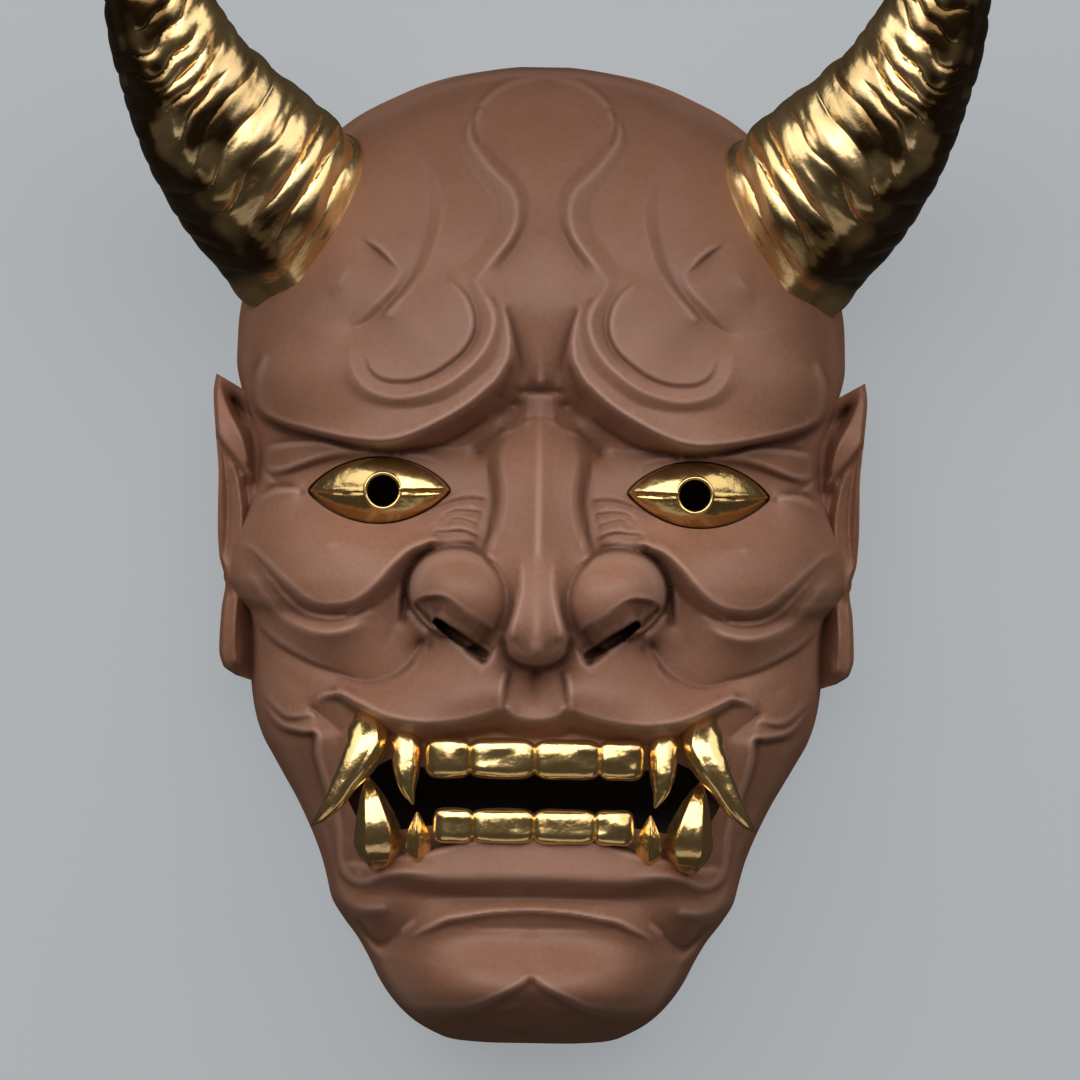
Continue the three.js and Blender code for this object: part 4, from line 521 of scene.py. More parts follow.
def join(obs):
    verts, faces, n = [], [], 0
    for o in obs:
        verts += [v.co.copy() for v in o.data.vertices]
        faces += [[i + n for i in p.vertices] for p in o.data.polygons]
        n += len(o.data.vertices)
        bpy.data.objects.remove(o)
    ob = new_mesh("cut", [list(v) for v in verts], faces)
    return ob


def boolean(ob, other, op, keep=False):
    m = ob.modifiers.new("b", "BOOLEAN")
    m.object, m.operation, m.solver = other, op, 'MANIFOLD'
    n0 = len(ob.data.polygons)
    bake(ob)
    if not keep:
        bpy.data.objects.remove(other)
    if len(ob.data.polygons) < 4:
        print("boolean gave nothing:", ob.name, n0)
    return ob


def mirrored(ob, name):
    me = ob.data.copy()
    o = bpy.data.objects.new(name, me)
    bpy.context.scene.collection.objects.link(o)
    co = np.zeros(len(me.vertices) * 3); me.vertices.foreach_get("co", co)
    co[0::3] *= -1
    me.vertices.foreach_set("co", co)
    me.flip_normals()
    return o


def smooth_shade(ob, angle=40):
    ob.data.polygons.foreach_set("use_smooth", [True] * len(ob.data.polygons))
    ob.data.set_sharp_from_angle(angle=math.radians(angle))
    ob.data.update()


def triangles(ob):
    ob.data.calc_loop_triangles()
    return len(ob.data.loop_triangles)


def thin(ob, target):
    n = triangles(ob)
    if n > target:
        m = ob.modifiers.new("d", "DECIMATE")
        m.ratio = target / n
        bake(ob)
    return ob


_rng = np.random.default_rng(11)
_lat = _rng.random((48, 48, 48))


def noise3(x, y, z):
    """Smooth value noise, -1..1."""
    out = 0
    xi, yi, zi = np.floor(x).astype(int), np.floor(y).astype(int), np.floor(z).astype(int)
    fx, fy, fz = x - xi, y - yi, z - zi
    fx, fy, fz = [f * f * f * (f * (f * 6 - 15) + 10) for f in (fx, fy, fz)]
    for dx in (0, 1):
        for dy in (0, 1):
            for dz in (0, 1):
                w = (fx if dx else 1 - fx) * (fy if dy else 1 - fy) * (fz if dz else 1 - fz)
                out = out + w * _lat[(xi + dx) % 48, (yi + dy) % 48, (zi + dz) % 48]
    return out * 2 - 1


# ---------------------------------------------------------------- head block
ROWS, COLS = ((640, 440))
b0, b1 = CROWN_B + .15, CHIN_B - .15
step0 = (b1 - b0) / ROWS
ends = np.cumsum([0] + [.05 * 1.18 ** i for i in range(int(math.log(step0 / .05) / math.log(1.18)))])
mid = np.linspace(b0 + ends[-1], b1 - ends[-1], ROWS)
row_b = np.concatenate([b0 + ends[:-1], mid, (b1 - ends[:-1])[::-1]])
e = np.linspace(0, 1, COLS // 2 + 1)
phi0 = math.asin(.86 ** (DOME / 2))
r = np.where(e < .76, .86 * e / .76, np.sin(phi0 + (math.pi / 2 - phi0) * np.clip((e - .76) / .24, 0, 1)) ** (2 / DOME))
across = np.concatenate([-r[:0:-1], r])
BB, RR = np.meshgrid(row_b, across, indexing="ij")
AA = -RR * w_of(BB)
ZZ = face(AA, BB)
ZZ[:, 0] = ZZ[:, -1] = EDGE_Z
ZZ[0, :] = ZZ[-1, :] = EDGE_Z
shell = strip_solid("shell", place(AA, BB, ZZ), 0.0)

# ---------------------------------------------------------------- ears
EAR_OUT = [(-37.2, 74.6), (-33, 75.2), (-24, 74.6), (-14, 73.8), (-4, 73.8), (4, 73.4), (11, 71.8), (17, 72.6), (26, 73), (30, 72), (32.2, 69)]


def ear():
    rows, cols = ((130, 80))
    i = np.linspace(0, 1, rows)[:, None]; s = np.linspace(0, 1, cols)[None, :]
    b = -37.2 + 69.4 * (.5 - .5 * np.cos(math.pi * i)) * .998 + .05 + 0 * s
    out = pchip(b, [q[0] for q in EAR_OUT], [q[1] for q in EAR_OUT])
    a = 58 + (out - 58) * s
    z = ear_height(a, b) - 3.5 * sstep(s, .94, 1.0)
    slant = 9.5 * sstep(-b, 20, 37) + 3.5 * sstep(b, 26, 32)
    return sheet_solid("ear", place(a, b + slant * (1 - s), z), .013)


EAR_SHEET = Grid(.3, 79.0, -40.0, 36.0)
EAR_Z = blur(solve([dict(q, z=0) for q in E], EAR_SHEET, 60.0), .9)


def ear_height(a, b):
    u = np.clip(a / .3 - .5, 0, EAR_SHEET.na - 1.001); v = np.clip((b + 40.0) / .3 - .5, 0, EAR_SHEET.nb - 1.001)
    i, j = np.floor(v).astype(int), np.floor(u).astype(int)
    fv, fu = v - i, u - j
    return (EAR_Z[i, j] * (1 - fv) * (1 - fu) + EAR_Z[i + 1, j] * fv * (1 - fu)
            + EAR_Z[i, j + 1] * (1 - fv) * fu + EAR_Z[i + 1, j + 1] * fv * fu)


ears = [ear()]
ears.append(mirrored(ears[0], "ear2"))
boolean(shell, join(ears), 'UNION')

# ---------------------------------------------------------------- hollow back
hr, hc = 60, 48
ii = np.linspace(1, -1, hr)
hb = -(CROWN_B * -1 - WALL - 1.5 + -CHIN_B + WALL + 1.5) / 2
top_v, low_v = -CROWN_B - WALL - 1.5, -CHIN_B + WALL + 1.5
hv = (top_v + low_v) / 2 + (top_v - low_v) / 2 * (.6 * ii + .4 * np.sin(ii * math.pi / 2))
deep = HEIGHT.copy()
for ax, reach in ((0, 30), (1, 30)):        # lowest carving within 9 mm
    src = deep.copy()
    for k in (7, 14, 21, 28, 35):
        lo = np.roll(src, k, ax); hi = np.roll(src, -k, ax)
        if ax == 0:
            lo[:k] = src[:k]; hi[-k:] = src[-k:]
        else:
            lo[:, :k] = src[:, :k][:, ::-1]; hi[:, -k:] = src[:, -k:]
        deep = np.minimum(deep, np.minimum(lo, hi))
deep = blur(deep, 8)
HV, HE = np.meshgrid(hv, np.linspace(-1, 1, hc), indexing="ij")
hw = np.maximum(np.minimum(np.minimum(w_of(-HV), w_of(-HV - 6)), w_of(-HV + 6)) - WALL, 3)
HA = -hw * np.sign(HE) * (.75 * np.abs(HE) + .25 * np.sin(np.abs(HE) * math.pi / 2))
HZ = np.clip(np.minimum(sample(deep, HA, -HV), base(HA, -HV)) - FRONT_WALL, 6, 57)
HZ[0] = HZ[-1] = 6; HZ[:, 0] = HZ[:, -1] = 6
HP = place(HA, -HV, np.full_like(HZ, EDGE_Z)); HP[..., 2] = HZ * .001
boolean(shell, sheet_solid("hollow", HP, -.003), 'DIFFERENCE')


# ---------------------------------------------------------------- eyes: pockets and plates
def almond(grow, n=60):
    up = lambda s: 7.6 * (1 - s * s) ** .8
    lo = lambda s: 7.4 * (1 - s * s) ** .85
    s = np.cos(np.linspace(math.pi, 0, n, endpoint=False))
    half = EYE_HALF + grow
    p = [(half * q, -(lo(q) + (grow if i else 0))) for i, q in enumerate(s)]
    p += [(half * -q, up(q) + (grow if i else 0)) for i, q in enumerate(s)]
    return [(EYE_U + .8 + u, -(EYE_V - .02 * u + w)) for u, w in p]


def eye_bed(a):
    return float(base(np.array([abs(a)]), np.array([-EYE_V]))[0]) - EYE_DROP


def circle(a, b, r, n):
    t = 2 * math.pi * np.arange(n) / n
    return np.stack([a + r * np.cos(t), b + r * np.sin(t)], 1)


mouth = [(45, 56.3), (38, 53.4), (33, 50.8), (26, 52.6), (0, 52.6), (-26, 52.6), (-33, 50.8), (-38, 53.4), (-45, 56.3),
         (-41, 64), (-33, 67.5), (-20, 65.5), (0, 65), (20, 65.5), (33, 67.5), (41, 64)]
pocket = cutter("pocket", almond(.35), lambda a: eye_bed(a) - 2.6, 95)
pocket2 = mirrored(pocket, "pocket2")
boolean(shell, join([pocket, pocket2, cutter("mouth", mouth, 30, 95)]), 'DIFFERENCE')
sight = cutter("sight", circle(EYE_U, -EYE_V, PUPIL_R + .8, 48), 35, 70)
boolean(shell, join([sight, mirrored(sight, "sight2")]), 'DIFFERENCE')
print("shell triangles", triangles(shell))
thin(shell, 190000)


def eye_plate():
    n, rows = ((90, 56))
    th = np.linspace(math.pi, 0, n + 2)[1:-1]
    s = np.cos(th)[None, :]
    k = (np.linspace(0, 1, rows) ** 1)[:, None]
    k = .5 - .5 * np.cos(math.pi * k)
    u = EYE_HALF * s
    top, low = 7.6 * (1 - s * s) ** .8, -7.4 * (1 - s * s) ** .85
    w = top + (low - top) * k
    a = EYE_U + .8 + u + 0 * k
    bed = base(a, np.full_like(a, -EYE_V)) - EYE_DROP
    x = np.abs(2 * k - 1)
    dome = .55 * np.maximum(1 - x ** 2, 0) ** .5 + .45 * (1 - x ** 1.6)
    ridge = .55 * np.exp(-(w / .26) ** 2) - .30 * np.exp(-((w + .55) / .3) ** 2)
    z = bed + .3 + 3.7 * dome * np.sqrt(np.maximum(1 - s * s, 0)) ** .8 + ridge * sstep(np.sqrt(np.maximum(1 - s * s, 0)), .1, .5)
    z = z + .12 * noise3(a * .35 + 5, w * .35 + 9, 0 * a + 3) * dome
    P = place(a, -(EYE_V - .02 * u + w), z)
    Q = place(a, -(EYE_V - .02 * u + w), bed - 2.2)
    R_, C_ = P.shape[:2]
    idx = np.arange(R_ * C_).reshape(R_, C_)
    aa, bb, cc, dd = idx[:-1, :-1], idx[1:, :-1], idx[1:, 1:], idx[:-1, 1:]
    t = np.stack([aa, bb, cc, dd], -1).reshape(-1, 4)
    low_ = (t + R_ * C_)[:, ::-1]
    ring = np.concatenate([idx[0, :-1], idx[:-1, -1], idx[-1, :0:-1], idx[:0:-1, 0]])
    nx = np.roll(ring, -1)
    side = np.stack([ring, nx, nx + R_ * C_, ring + R_ * C_], -1)
    ob = flip_if_inside_out(new_mesh("eye", np.concatenate([P.reshape(-1, 3), Q.reshape(-1, 3)]), np.concatenate([t, low_, side]).tolist()))
    zt = eye_bed(EYE_U) + 5.3
    m = 72
    prof = [(PUPIL_R - .05, zt - 5.5), (PUPIL_R + .95, zt - 5.5), (PUPIL_R + .95, zt - .35), (PUPIL_R + .75, zt - .05), (PUPIL_R + .45, zt + .05), (PUPIL_R + .15, zt - .05), (PUPIL_R - .02, zt - .3), (PUPIL_R - .05, zt - .6)]
    t_ = 2 * math.pi * np.arange(m) / m
    vs, fs = [], []
    for (rr, zz) in prof:
        vs.append(place(EYE_U + rr * np.cos(t_), -EYE_V + rr * np.sin(t_), np.full(m, zz)))
    q = len(prof)
    for i in range(q):
        for j in range(m):
            fs.append([i * m + j, i * m + (j + 1) % m, ((i + 1) % q) * m + (j + 1) % m, ((i + 1) % q) * m + j])
    collar = flip_if_inside_out(new_mesh("collar", np.concatenate(vs), fs))
    boolean(ob, cutter("pupil", circle(EYE_U, -EYE_V, PUPIL_R + .2, 72), 35, 90), 'DIFFERENCE')
    boolean(ob, collar, 'UNION')
    return ob


# ---------------------------------------------------------------- teeth
def station_tube(name, st, row, n=64, sides=40, face_fn=None):
    st = np.array(st, float)
    t0 = np.arange(len(st)); t = np.linspace(0, len(st) - 1, n)
    t = np.concatenate([t[:-1], [len(st) - 1.0]])
    c = [pchip(t, t0, st[:, k]) for k in range(5)]
    pts = place(c[0], -c[1], base(np.abs(c[0]), np.full(len(t), float(row))) + c[2]) * 1000
    along_ = np.gradient(pts, axis=0); along_ /= np.linalg.norm(along_, axis=1)[:, None]
    flat = np.cross(along_, [0, 0, 1.0]); flat /= np.linalg.norm(flat, axis=1)[:, None]
    deep_ = np.cross(flat, along_)
    th = 2 * math.pi * np.arange(sides) / sides
    co, si = np.cos(th)[None, :, None], np.sin(th)[None, :, None]
    f = np.ones((len(t), sides)) if face_fn is None else face_fn(t[:, None] / (len(st) - 1), th[None, :])
    f = f[..., None]
    rings = pts[:, None, :] + f * (c[3][:, None, None] * co * flat[:, None, :] + c[4][:, None, None] * si * deep_[:, None, :])
    return tube_solid(name, rings * .001)


def dents(seed, amp, facets=0, turn=0.0):
    def fn(t, th):
        k = 1
        if facets:
            st = 2 * math.pi / facets
            k = (math.cos(st / 2) / np.cos((th - turn) % st - st / 2)) ** .85
        return k * (1 + amp * noise3(t * 7 + seed, np.cos(th) * 1.6 + seed, np.sin(th) * 1.6 + seed * 2)
                + .5 * amp * noise3(t * 17 + seed, np.cos(th) * 3 + seed, np.sin(th) * 3 + seed * 2)
                + .05 * np.exp(-(((th - 1.9) % (2 * math.pi)) / .35) ** 2))
    return fn


TUSK = [[38.6, -41.6, -2.5, 3.4, 3.2], [38.4, -46.0, 1, 4.75, 4.4], [40.2, -51.0, 4, 4.1, 3.9], [43.4, -56.4, 6.5, 2.9, 2.9],
        [46.2, -61.2, 8.5, 2.15, 2.1], [48.9, -64.4, 10, 1.25, 1.2], [51.3, -66.6, 11, .25, .25]]
FANG_UP = [[29.6, -44.4, 0, 2.4, 2.2], [29.5, -47.6, 2.8, 3.3, 3.0], [29.5, -52.6, 4, 3.0, 2.9], [29.2, -57, 4.6, 2.0, 1.9], [27.8, -61.2, 4.6, .3, .3]]
FANG_LOW = [[35.3, -74.4, -2.2, 3.6, 2.4], [35.5, -72.2, 1.2, 4.9, 3.4], [35.7, -69.6, 3.8, 5.4, 4.2], [36.3, -65, 5.0, 4.5, 3.8], [37.1, -60.9, 5.2, 3.2, 2.9],
            [37.9, -57.3, 4.6, 1.6, 1.5], [38.4, -54.9, 3.6, .25, .25]]
TOOTH_LOW = [[26.5, -74.2, -3.0, 2.4, 1.8], [26.5, -71.6, 1.4, 2.8, 2.3], [26.6, -68.4, 2.7, 2.4, 2.1], [26.7, -65.6, 3.1, 1.45, 1.3], [26.8, -63.0, 3.2, .25, .25]]


def front_tooth(u, v, hw_, hh, stand, seed):
    m, n = ((36, 60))
    la = np.linspace(-math.pi / 2, math.pi / 2, m)[:, None]; lo = np.linspace(0, 2 * math.pi, n, endpoint=False)[None, :]
    sq = lambda x, q: np.sign(x) * np.abs(x) ** q
    x, y, z = sq(np.cos(la), .55) * sq(np.cos(lo), .5), sq(np.cos(la), .55) * sq(np.sin(lo), .5), sq(np.sin(la), .5) + 0 * lo
    y = y * (1 + .04 * noise3(x * 2 + seed, y * 2, z * 2 + seed))
    z = z + .05 * noise3(x * 1.7 + seed, y * 1.7 + 3, z + seed) - .05 * (np.abs(x) ** 3)
    uu = u + hw_ * x
    gum = base(np.abs(uu), np.full_like(uu, GUM_ROW)) - GUM_DROP
    P = place(uu, -(v + hh * y), gum + .35 - .6 + stand * (1 + z) / 2)
    v_ = np.concatenate([P[1:-1].reshape(-1, 3), P[:1, :1].reshape(1, 3), P[-1:, :1].reshape(1, 3)])
    idx = np.arange((m - 2) * n).reshape(m - 2, n); nx = np.roll(idx, -1, 1)
    f = np.stack([idx[:-1], nx[:-1], nx[1:], idx[1:]], -1).reshape(-1, 4).tolist()
    s0, s1 = (m - 2) * n, (m - 2) * n + 1
    for k in range(n):
        f.append([s0, int(nx[0, k]), int(idx[0, k])]); f.append([s1, int(idx[-1, k]), int(nx[-1, k])])
    return flip_if_inside_out(new_mesh("tooth", v_, f))


def tooth_row(v, hh, inner, outer, stand, seed):
    row = None
    for s in (-1, 1):
        for k, (u, w) in enumerate(((inner, inner + .6), (2 * inner + outer, outer + .5))):
            t = front_tooth(s * u, v, w, hh, stand, seed + 3 * k + s)
            row = t if row is None else boolean(row, t, 'UNION')
    return row


# ---------------------------------------------------------------- horns
HORN = np.array([[55.4, 71.3, 32, 1, 58.4, 54], [62.6, 78.9, 39.5, .985, 53.8, 56], [70.2, 86.8, 46.4, .925, 50, 59],
                 [76.5, 94.4, 52, .835, 48.5, 62], [82.6, 103.5, 57.2, .73, 46, 65], [87.6, 113.9, 62.2, .635, 40.8, 68],
                 [92, 126.2, 67.3, .52, 34, 71], [96.4, 140, 72.1, .375, 28, 74], [99.8, 151.8, 75.8, .22, 22.5, 76], [101.9, 161.8, 78.6, .05, 20, 77]])


def horn():
    n, sides = ((420, 180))
    t0 = np.arange(len(HORN)); t = np.linspace(0, len(HORN) - 1, n)
    u, v, z, rf, g, lean = [pchip(t, t0, HORN[:, k]) for k in range(6)]
    g, lean = np.radians(g), np.radians(lean)
    c = place(u, -v, z) * 1000
    A = np.stack([np.cos(g), np.sin(g), 0 * g], 1)
    B = np.stack([np.sin(g) * np.cos(lean), -np.cos(g) * np.cos(lean), np.sin(lean)], 1)
    inward = np.cross(A[0], B[0]); inward /= np.linalg.norm(inward)
    if inward[2] > 0: inward = -inward
    s = np.concatenate([[0], np.cumsum(np.linalg.norm(np.diff(c, axis=0), axis=1))])
    th = 2 * math.pi * np.arange(sides) / sides
    S, T = np.meshgrid(s, th, indexing="ij")
    R0 = (HORN_R * rf)[:, None] + 0 * T
    d = horn_relief(S, T, R0)
    Rm = R0 + d
    rings = c[:, None, :] + Rm[..., None] * (np.cos(T)[..., None] * A[:, None, :] + np.sin(T)[..., None] * B[:, None, :])
    foot = rings[0] + inward * 15 - (rings[0] - c[0]) * .02
    steps = [foot + (rings[0] - foot) * q for q in (0, .25, .5, .75)]
    ob = tube_solid("horn", np.concatenate([np.array(steps), rings]) * .001)
    # painted dark reflection on the outer flank, kept as a vertex attribute
    dark = painted_dark_reflection(S, T)
    dark = np.concatenate([np.repeat(dark[:1], 4, 0), dark])
    val = np.zeros(len(ob.data.vertices), np.float32); val[:dark.size] = dark.reshape(-1)
    at = ob.data.attributes.new("painted_dark_reflection", "FLOAT", "POINT"); at.data.foreach_set("value", val)
    return ob


def painted_dark_reflection(S, T):
    """Painted dark reflection: how far the gilding is darkened to brown, on the outer flank, in clouds drawn out across
    the horn.
    """
    cx, cy = np.cos(T), np.sin(T)
    cloud = noise3(S * .09 + 31, cx * 1.6 + 5, cy * 1.6 + 2) + .5 * noise3(S * .26 + 11, cx * 3.4 + 8, cy * 3.4 + 3)
    flank = ang(T, 168, 70) * 1.2 + .4 * ang(T, -60, 60)
    flank = flank * (1 - .97 * (1 - sstep(S, 7, 16)) * ang(T, 110, 105))
    return np.clip((flank + .8 * cloud * (.4 + flank) - .06) * 1.5, 0, .96)


def ang(T, c, w):
    q = (T - math.radians(c) + math.pi) % (2 * math.pi) - math.pi
    return np.exp(-(q / math.radians(w)) ** 2)


def horn_relief(S, T, R):
    cx, cy = np.cos(T), np.sin(T)
    k = R / HORN_R
    # a flat front face, an edge down the outer third and a hollow outer flank
    d = R * (-.05 * ang(T, 66, 34) + .06 * ang(T, 122, 14) - .08 * ang(T, 158, 24) + .03 * ang(T, 12, 20))
    # growth rings: rounded swells with a narrow crease between
    warp = 4.2 * noise3(S * .05 + 2, cx * 1.1 + 7, cy * 1.1 + 4) + 1.9 * noise3(S * .14 + 9, cx * 2.2 + 1, cy * 2.2 + 8)
    gap = 7.6 - .026 * S
    ph = (S + warp) / gap
    saw = ph - np.floor(ph)
    swell = np.sqrt(np.maximum(1 - (2 * saw - 1) ** 2, 0)) - .75
    strength = np.clip(.70 + .95 * noise3(S * .10 + 20, cx * 1.5, cy * 1.5), .12, 1.4) * (.45 + .55 * k) * (1 - .35 * ang(T, 165, 50))
    d = d + 1.25 * swell * strength * sstep(S, 1.5, 6)
    # crumpled skin: short dents drawn out across the horn
    d = d + k * (.72 * noise3(S * .16 + 3, cx * 1.6 + 12, cy * 1.6 + 1) + .16 * noise3(S * .5 + 7, cx * 2.6 + 2, cy * 2.6 + 5)
                 + .04 * noise3(S * 1.1, cx * 5 + 3, cy * 5 + 9)) * sstep(S, 0, 5)
    # smooth swollen foot
    d = d + .9 * np.exp(-((S - 1.5) / 3.0) ** 2)
    return d * (1 - sstep(S, 112, 122) * .8)


# ---------------------------------------------------------------- materials
def mat(name):
    m = bpy.data.materials.new(name)
    m.use_nodes = True
    nt = m.node_tree
    nt.nodes.clear()
    out = nt.nodes.new("ShaderNodeOutputMaterial")
    p = nt.nodes.new("ShaderNodeBsdfPrincipled")
    nt.links.new(p.outputs["BSDF"], out.inputs["Surface"])
    return m, nt, p


def node(nt, kind, **kw):
    n = nt.nodes.new(kind)
    for key, val in kw.items():
        if key in n.inputs:
            n.inputs[key].default_value = val
        else:
            setattr(n, key, val)
    return n


def wood_material():
    m, nt, p = mat("wood")
    L_ = nt.links.new
    co = node(nt, "ShaderNodeTexCoord")
    big = node(nt, "ShaderNodeTexNoise", Scale=38.0, Detail=4.0, Roughness=.55)
    fine = node(nt, "ShaderNodeTexNoise", Scale=900.0, Detail=3.0, Roughness=.6)
    grain = node(nt, "ShaderNodeTexNoise", Scale=2600.0, Detail=2.0, Roughness=.6)
    for n_ in (big, fine, grain):
        L_(co.outputs["Object"], n_.inputs["Vector"])
    ramp = node(nt, "ShaderNodeValToRGB")
    ramp.color_ramp.elements[0].position = .30; ramp.color_ramp.elements[0].color = WOOD_DARK + (1,)
    ramp.color_ramp.elements[1].position = .72; ramp.color_ramp.elements[1].color = WOOD_LIGHT + (1,)
    L_(big.outputs["Fac"], ramp.inputs["Fac"])
    speck = node(nt, "ShaderNodeMix", data_type='RGBA', blend_type='MULTIPLY')
    speck.inputs[0].default_value = .35
    sr = node(nt, "ShaderNodeValToRGB")
    sr.color_ramp.elements[0].position = .35; sr.color_ramp.elements[0].color = (.72, .68, .64, 1)
    sr.color_ramp.elements[1].position = .6; sr.color_ramp.elements[1].color = (1, 1, 1, 1)
    L_(fine.outputs["Fac"], sr.inputs["Fac"])
    L_(ramp.outputs["Color"], speck.inputs[6]); L_(sr.outputs["Color"], speck.inputs[7])
    # edge colour mix: crisp edges lightened, partly edge wear and partly painted highlight
    at = node(nt, "ShaderNodeAttribute", attribute_name="edge")
    edge_wear_highlight_mix = node(nt, "ShaderNodeMix", data_type='RGBA', blend_type='MIX')
    L_(at.outputs["Fac"], edge_wear_highlight_mix.inputs[0]); L_(speck.outputs[2], edge_wear_highlight_mix.inputs[6]); edge_wear_highlight_mix.inputs[7].default_value = WOOD_EDGE_WEAR_HIGHLIGHT + (1,)
    # crease colour mix: painted shade in creases, and darker towards the crown
    ac = node(nt, "ShaderNodeAttribute", attribute_name="hollow")
    crease_shade_crown_dark_mix = node(nt, "ShaderNodeMix", data_type='RGBA', blend_type='MIX')
    L_(ac.outputs["Fac"], crease_shade_crown_dark_mix.inputs[0]); L_(edge_wear_highlight_mix.outputs[2], crease_shade_crown_dark_mix.inputs[6]); crease_shade_crown_dark_mix.inputs[7].default_value = WOOD_CREASE_SHADE_DARK + (1,)
    L_(crease_shade_crown_dark_mix.outputs[2], p.inputs["Base Color"])
    rr = node(nt, "ShaderNodeMapRange"); rr.inputs["To Min"].default_value = .42; rr.inputs["To Max"].default_value = .60
    L_(fine.outputs["Fac"], rr.inputs["Value"]); L_(rr.outputs["Result"], p.inputs["Roughness"])
    p.inputs["Specular IOR Level"].default_value = .38
    b1_ = node(nt, "ShaderNodeBump", Strength=.25, Distance=.0002)
    L_(fine.outputs["Fac"], b1_.inputs["Height"])
    b2_ = node(nt, "ShaderNodeBump", Strength=.12, Distance=.0001)
    L_(grain.outputs["Fac"], b2_.inputs["Height"]); L_(b1_.outputs["Normal"], b2_.inputs["Normal"])
    L_(b2_.outputs["Normal"], p.inputs["Normal"])
    return m


def gilt_material(name, rough=(.16, .30), scale=160.0, bump=.12, color=None, dent=.30):
    m, nt, p = mat(name)
    L_ = nt.links.new
    co = node(nt, "ShaderNodeTexCoord")
    n1 = node(nt, "ShaderNodeTexNoise", Scale=scale, Detail=3.0, Roughness=.5)
    n2 = node(nt, "ShaderNodeTexNoise", Scale=scale * 5, Detail=3.0, Roughness=.6)
    pits = node(nt, "ShaderNodeTexVoronoi", Scale=scale * 4)
    for n_ in (n1, n2, pits):
        L_(co.outputs["Object"], n_.inputs["Vector"])
    ramp = node(nt, "ShaderNodeValToRGB")
    c = color or GILT
    ramp.color_ramp.elements[0].position = .3; ramp.color_ramp.elements[0].color = (c[0] * .86, c[1] * .82, c[2] * .72, 1)
    ramp.color_ramp.elements[1].position = .7; ramp.color_ramp.elements[1].color = c + (1,)
    L_(n1.outputs["Fac"], ramp.inputs["Fac"])
    # painted dark reflection: the horns' attribute mixes the gilding toward dark brown
    ta = node(nt, "ShaderNodeAttribute", attribute_name="painted_dark_reflection")
    painted_reflection_mix = node(nt, "ShaderNodeMix", data_type='RGBA', blend_type='MIX')
    L_(ta.outputs["Fac"], painted_reflection_mix.inputs[0]); L_(ramp.outputs["Color"], painted_reflection_mix.inputs[6]); painted_reflection_mix.inputs[7].default_value = (.075, .036, .010, 1)
    L_(painted_reflection_mix.outputs[2], p.inputs["Base Color"])
    p.inputs["Metallic"].default_value = .975
    rr = node(nt, "ShaderNodeMapRange"); rr.inputs["To Min"].default_value = rough[0]; rr.inputs["To Max"].default_value = rough[1]
    L_(n2.outputs["Fac"], rr.inputs["Value"]); L_(rr.outputs["Result"], p.inputs["Roughness"])
    n3 = node(nt, "ShaderNodeTexNoise", Scale=scale * 2.6, Detail=2.0, Roughness=.45)
    L_(co.outputs["Object"], n3.inputs["Vector"])
    b0_ = node(nt, "ShaderNodeBump", Strength=dent, Distance=.0005)
    L_(n3.outputs["Fac"], b0_.inputs["Height"])
    b1_ = node(nt, "ShaderNodeBump", Strength=bump, Distance=.0004)
    L_(n2.outputs["Fac"], b1_.inputs["Height"]); L_(b0_.outputs["Normal"], b1_.inputs["Normal"])
    L_(b1_.outputs["Normal"], p.inputs["Normal"])
    return m


WOOD_DARK, WOOD_LIGHT = (.236, .106, .062), (.306, .146, .090)
# the edge colour is partly edge wear, partly painted highlight; the crease colour is painted shade in creases, also
# used towards the crown
WOOD_EDGE_WEAR_HIGHLIGHT, WOOD_CREASE_SHADE_DARK = (.44, .255, .185), (.085, .036, .022)
GILT = (.98, .69, .30)
wood = wood_material()
gilt_eye = gilt_material("gilt_eye", color=(.76, .54, .23))
gilt_tooth = gilt_material("gilt_tooth", rough=(.15, .26), scale=130.0, color=(.90, .64, .29))
gilt_horn = gilt_material("gilt_horn", rough=(.17, .30), scale=120.0, bump=.14, dent=.12, color=(.98, .71, .36))

# lighter crisp edges, partly edge wear and partly painted highlight, and painted shade in creases, from how far the
# carved surface stands above or below its own softened self
fineness = HEIGHT - blur(HEIGHT, .6 / SHEET.g)
# painted highlight with edge wear: crisp edges lightened
EDGE_WEAR_AND_HIGHLIGHT = blur(np.clip(fineness - .06, 0, 1) * 4.0, .15 / SHEET.g)
# painted shade: creases darkened
CREASE_SHADE_AND_CROWN_DARK = blur(np.clip(-fineness - .08, 0, 1) * 2.4, .3 / SHEET.g)
CREASE_SHADE_AND_CROWN_DARK = CREASE_SHADE_AND_CROWN_DARK + .58 * np.clip((-20 - SHEET.B) / 86, 0, 1)     # darker towards the crown


# writes the edge attribute (edge wear and painted highlight) and the hollow attribute (painted shade in creases, darker
# towards the crown)
def wear_and_shade_attributes(ob):
    me = ob.data
    co = np.zeros(len(me.vertices) * 3); me.vertices.foreach_get("co", co); co = co.reshape(-1, 3)
    a, b, z = unplace(co)
    on = (np.abs(a) < w_of(b) - .3) & (np.abs(z - face(a, b)) < 1.2)
    rim_fade = 1 - sstep(np.abs(a) / np.maximum(w_of(b), 1e-6), .90, .98)
    rim_fade = rim_fade * (1 - sstep(b, 106, 113))
    for key, field, cap in (("edge", EDGE_WEAR_AND_HIGHLIGHT, .5), ("hollow", CREASE_SHADE_AND_CROWN_DARK, .7)):
        at = me.attributes.new(key, "FLOAT", "POINT")
        at.data.foreach_set("value", np.where(on, np.clip(sample(field, a, b), 0, cap) * rim_fade, 0).astype(np.float32))


def finish_piece(ob, name, node_name, material, angle=40):
    co = np.zeros(len(ob.data.vertices) * 3); ob.data.vertices.foreach_get("co", co)
    co[2::3] = np.maximum(co[2::3], 0)     # rests on the floor
    ob.data.vertices.foreach_set("co", co)
    ob.name = name; ob.data.name = name
    ob.data.materials.clear(); ob.data.materials.append(material)
    for p_ in ob.data.polygons: p_.material_index = 0
    smooth_shade(ob, angle)
    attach(ob, "root"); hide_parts(node_name)
    return ob


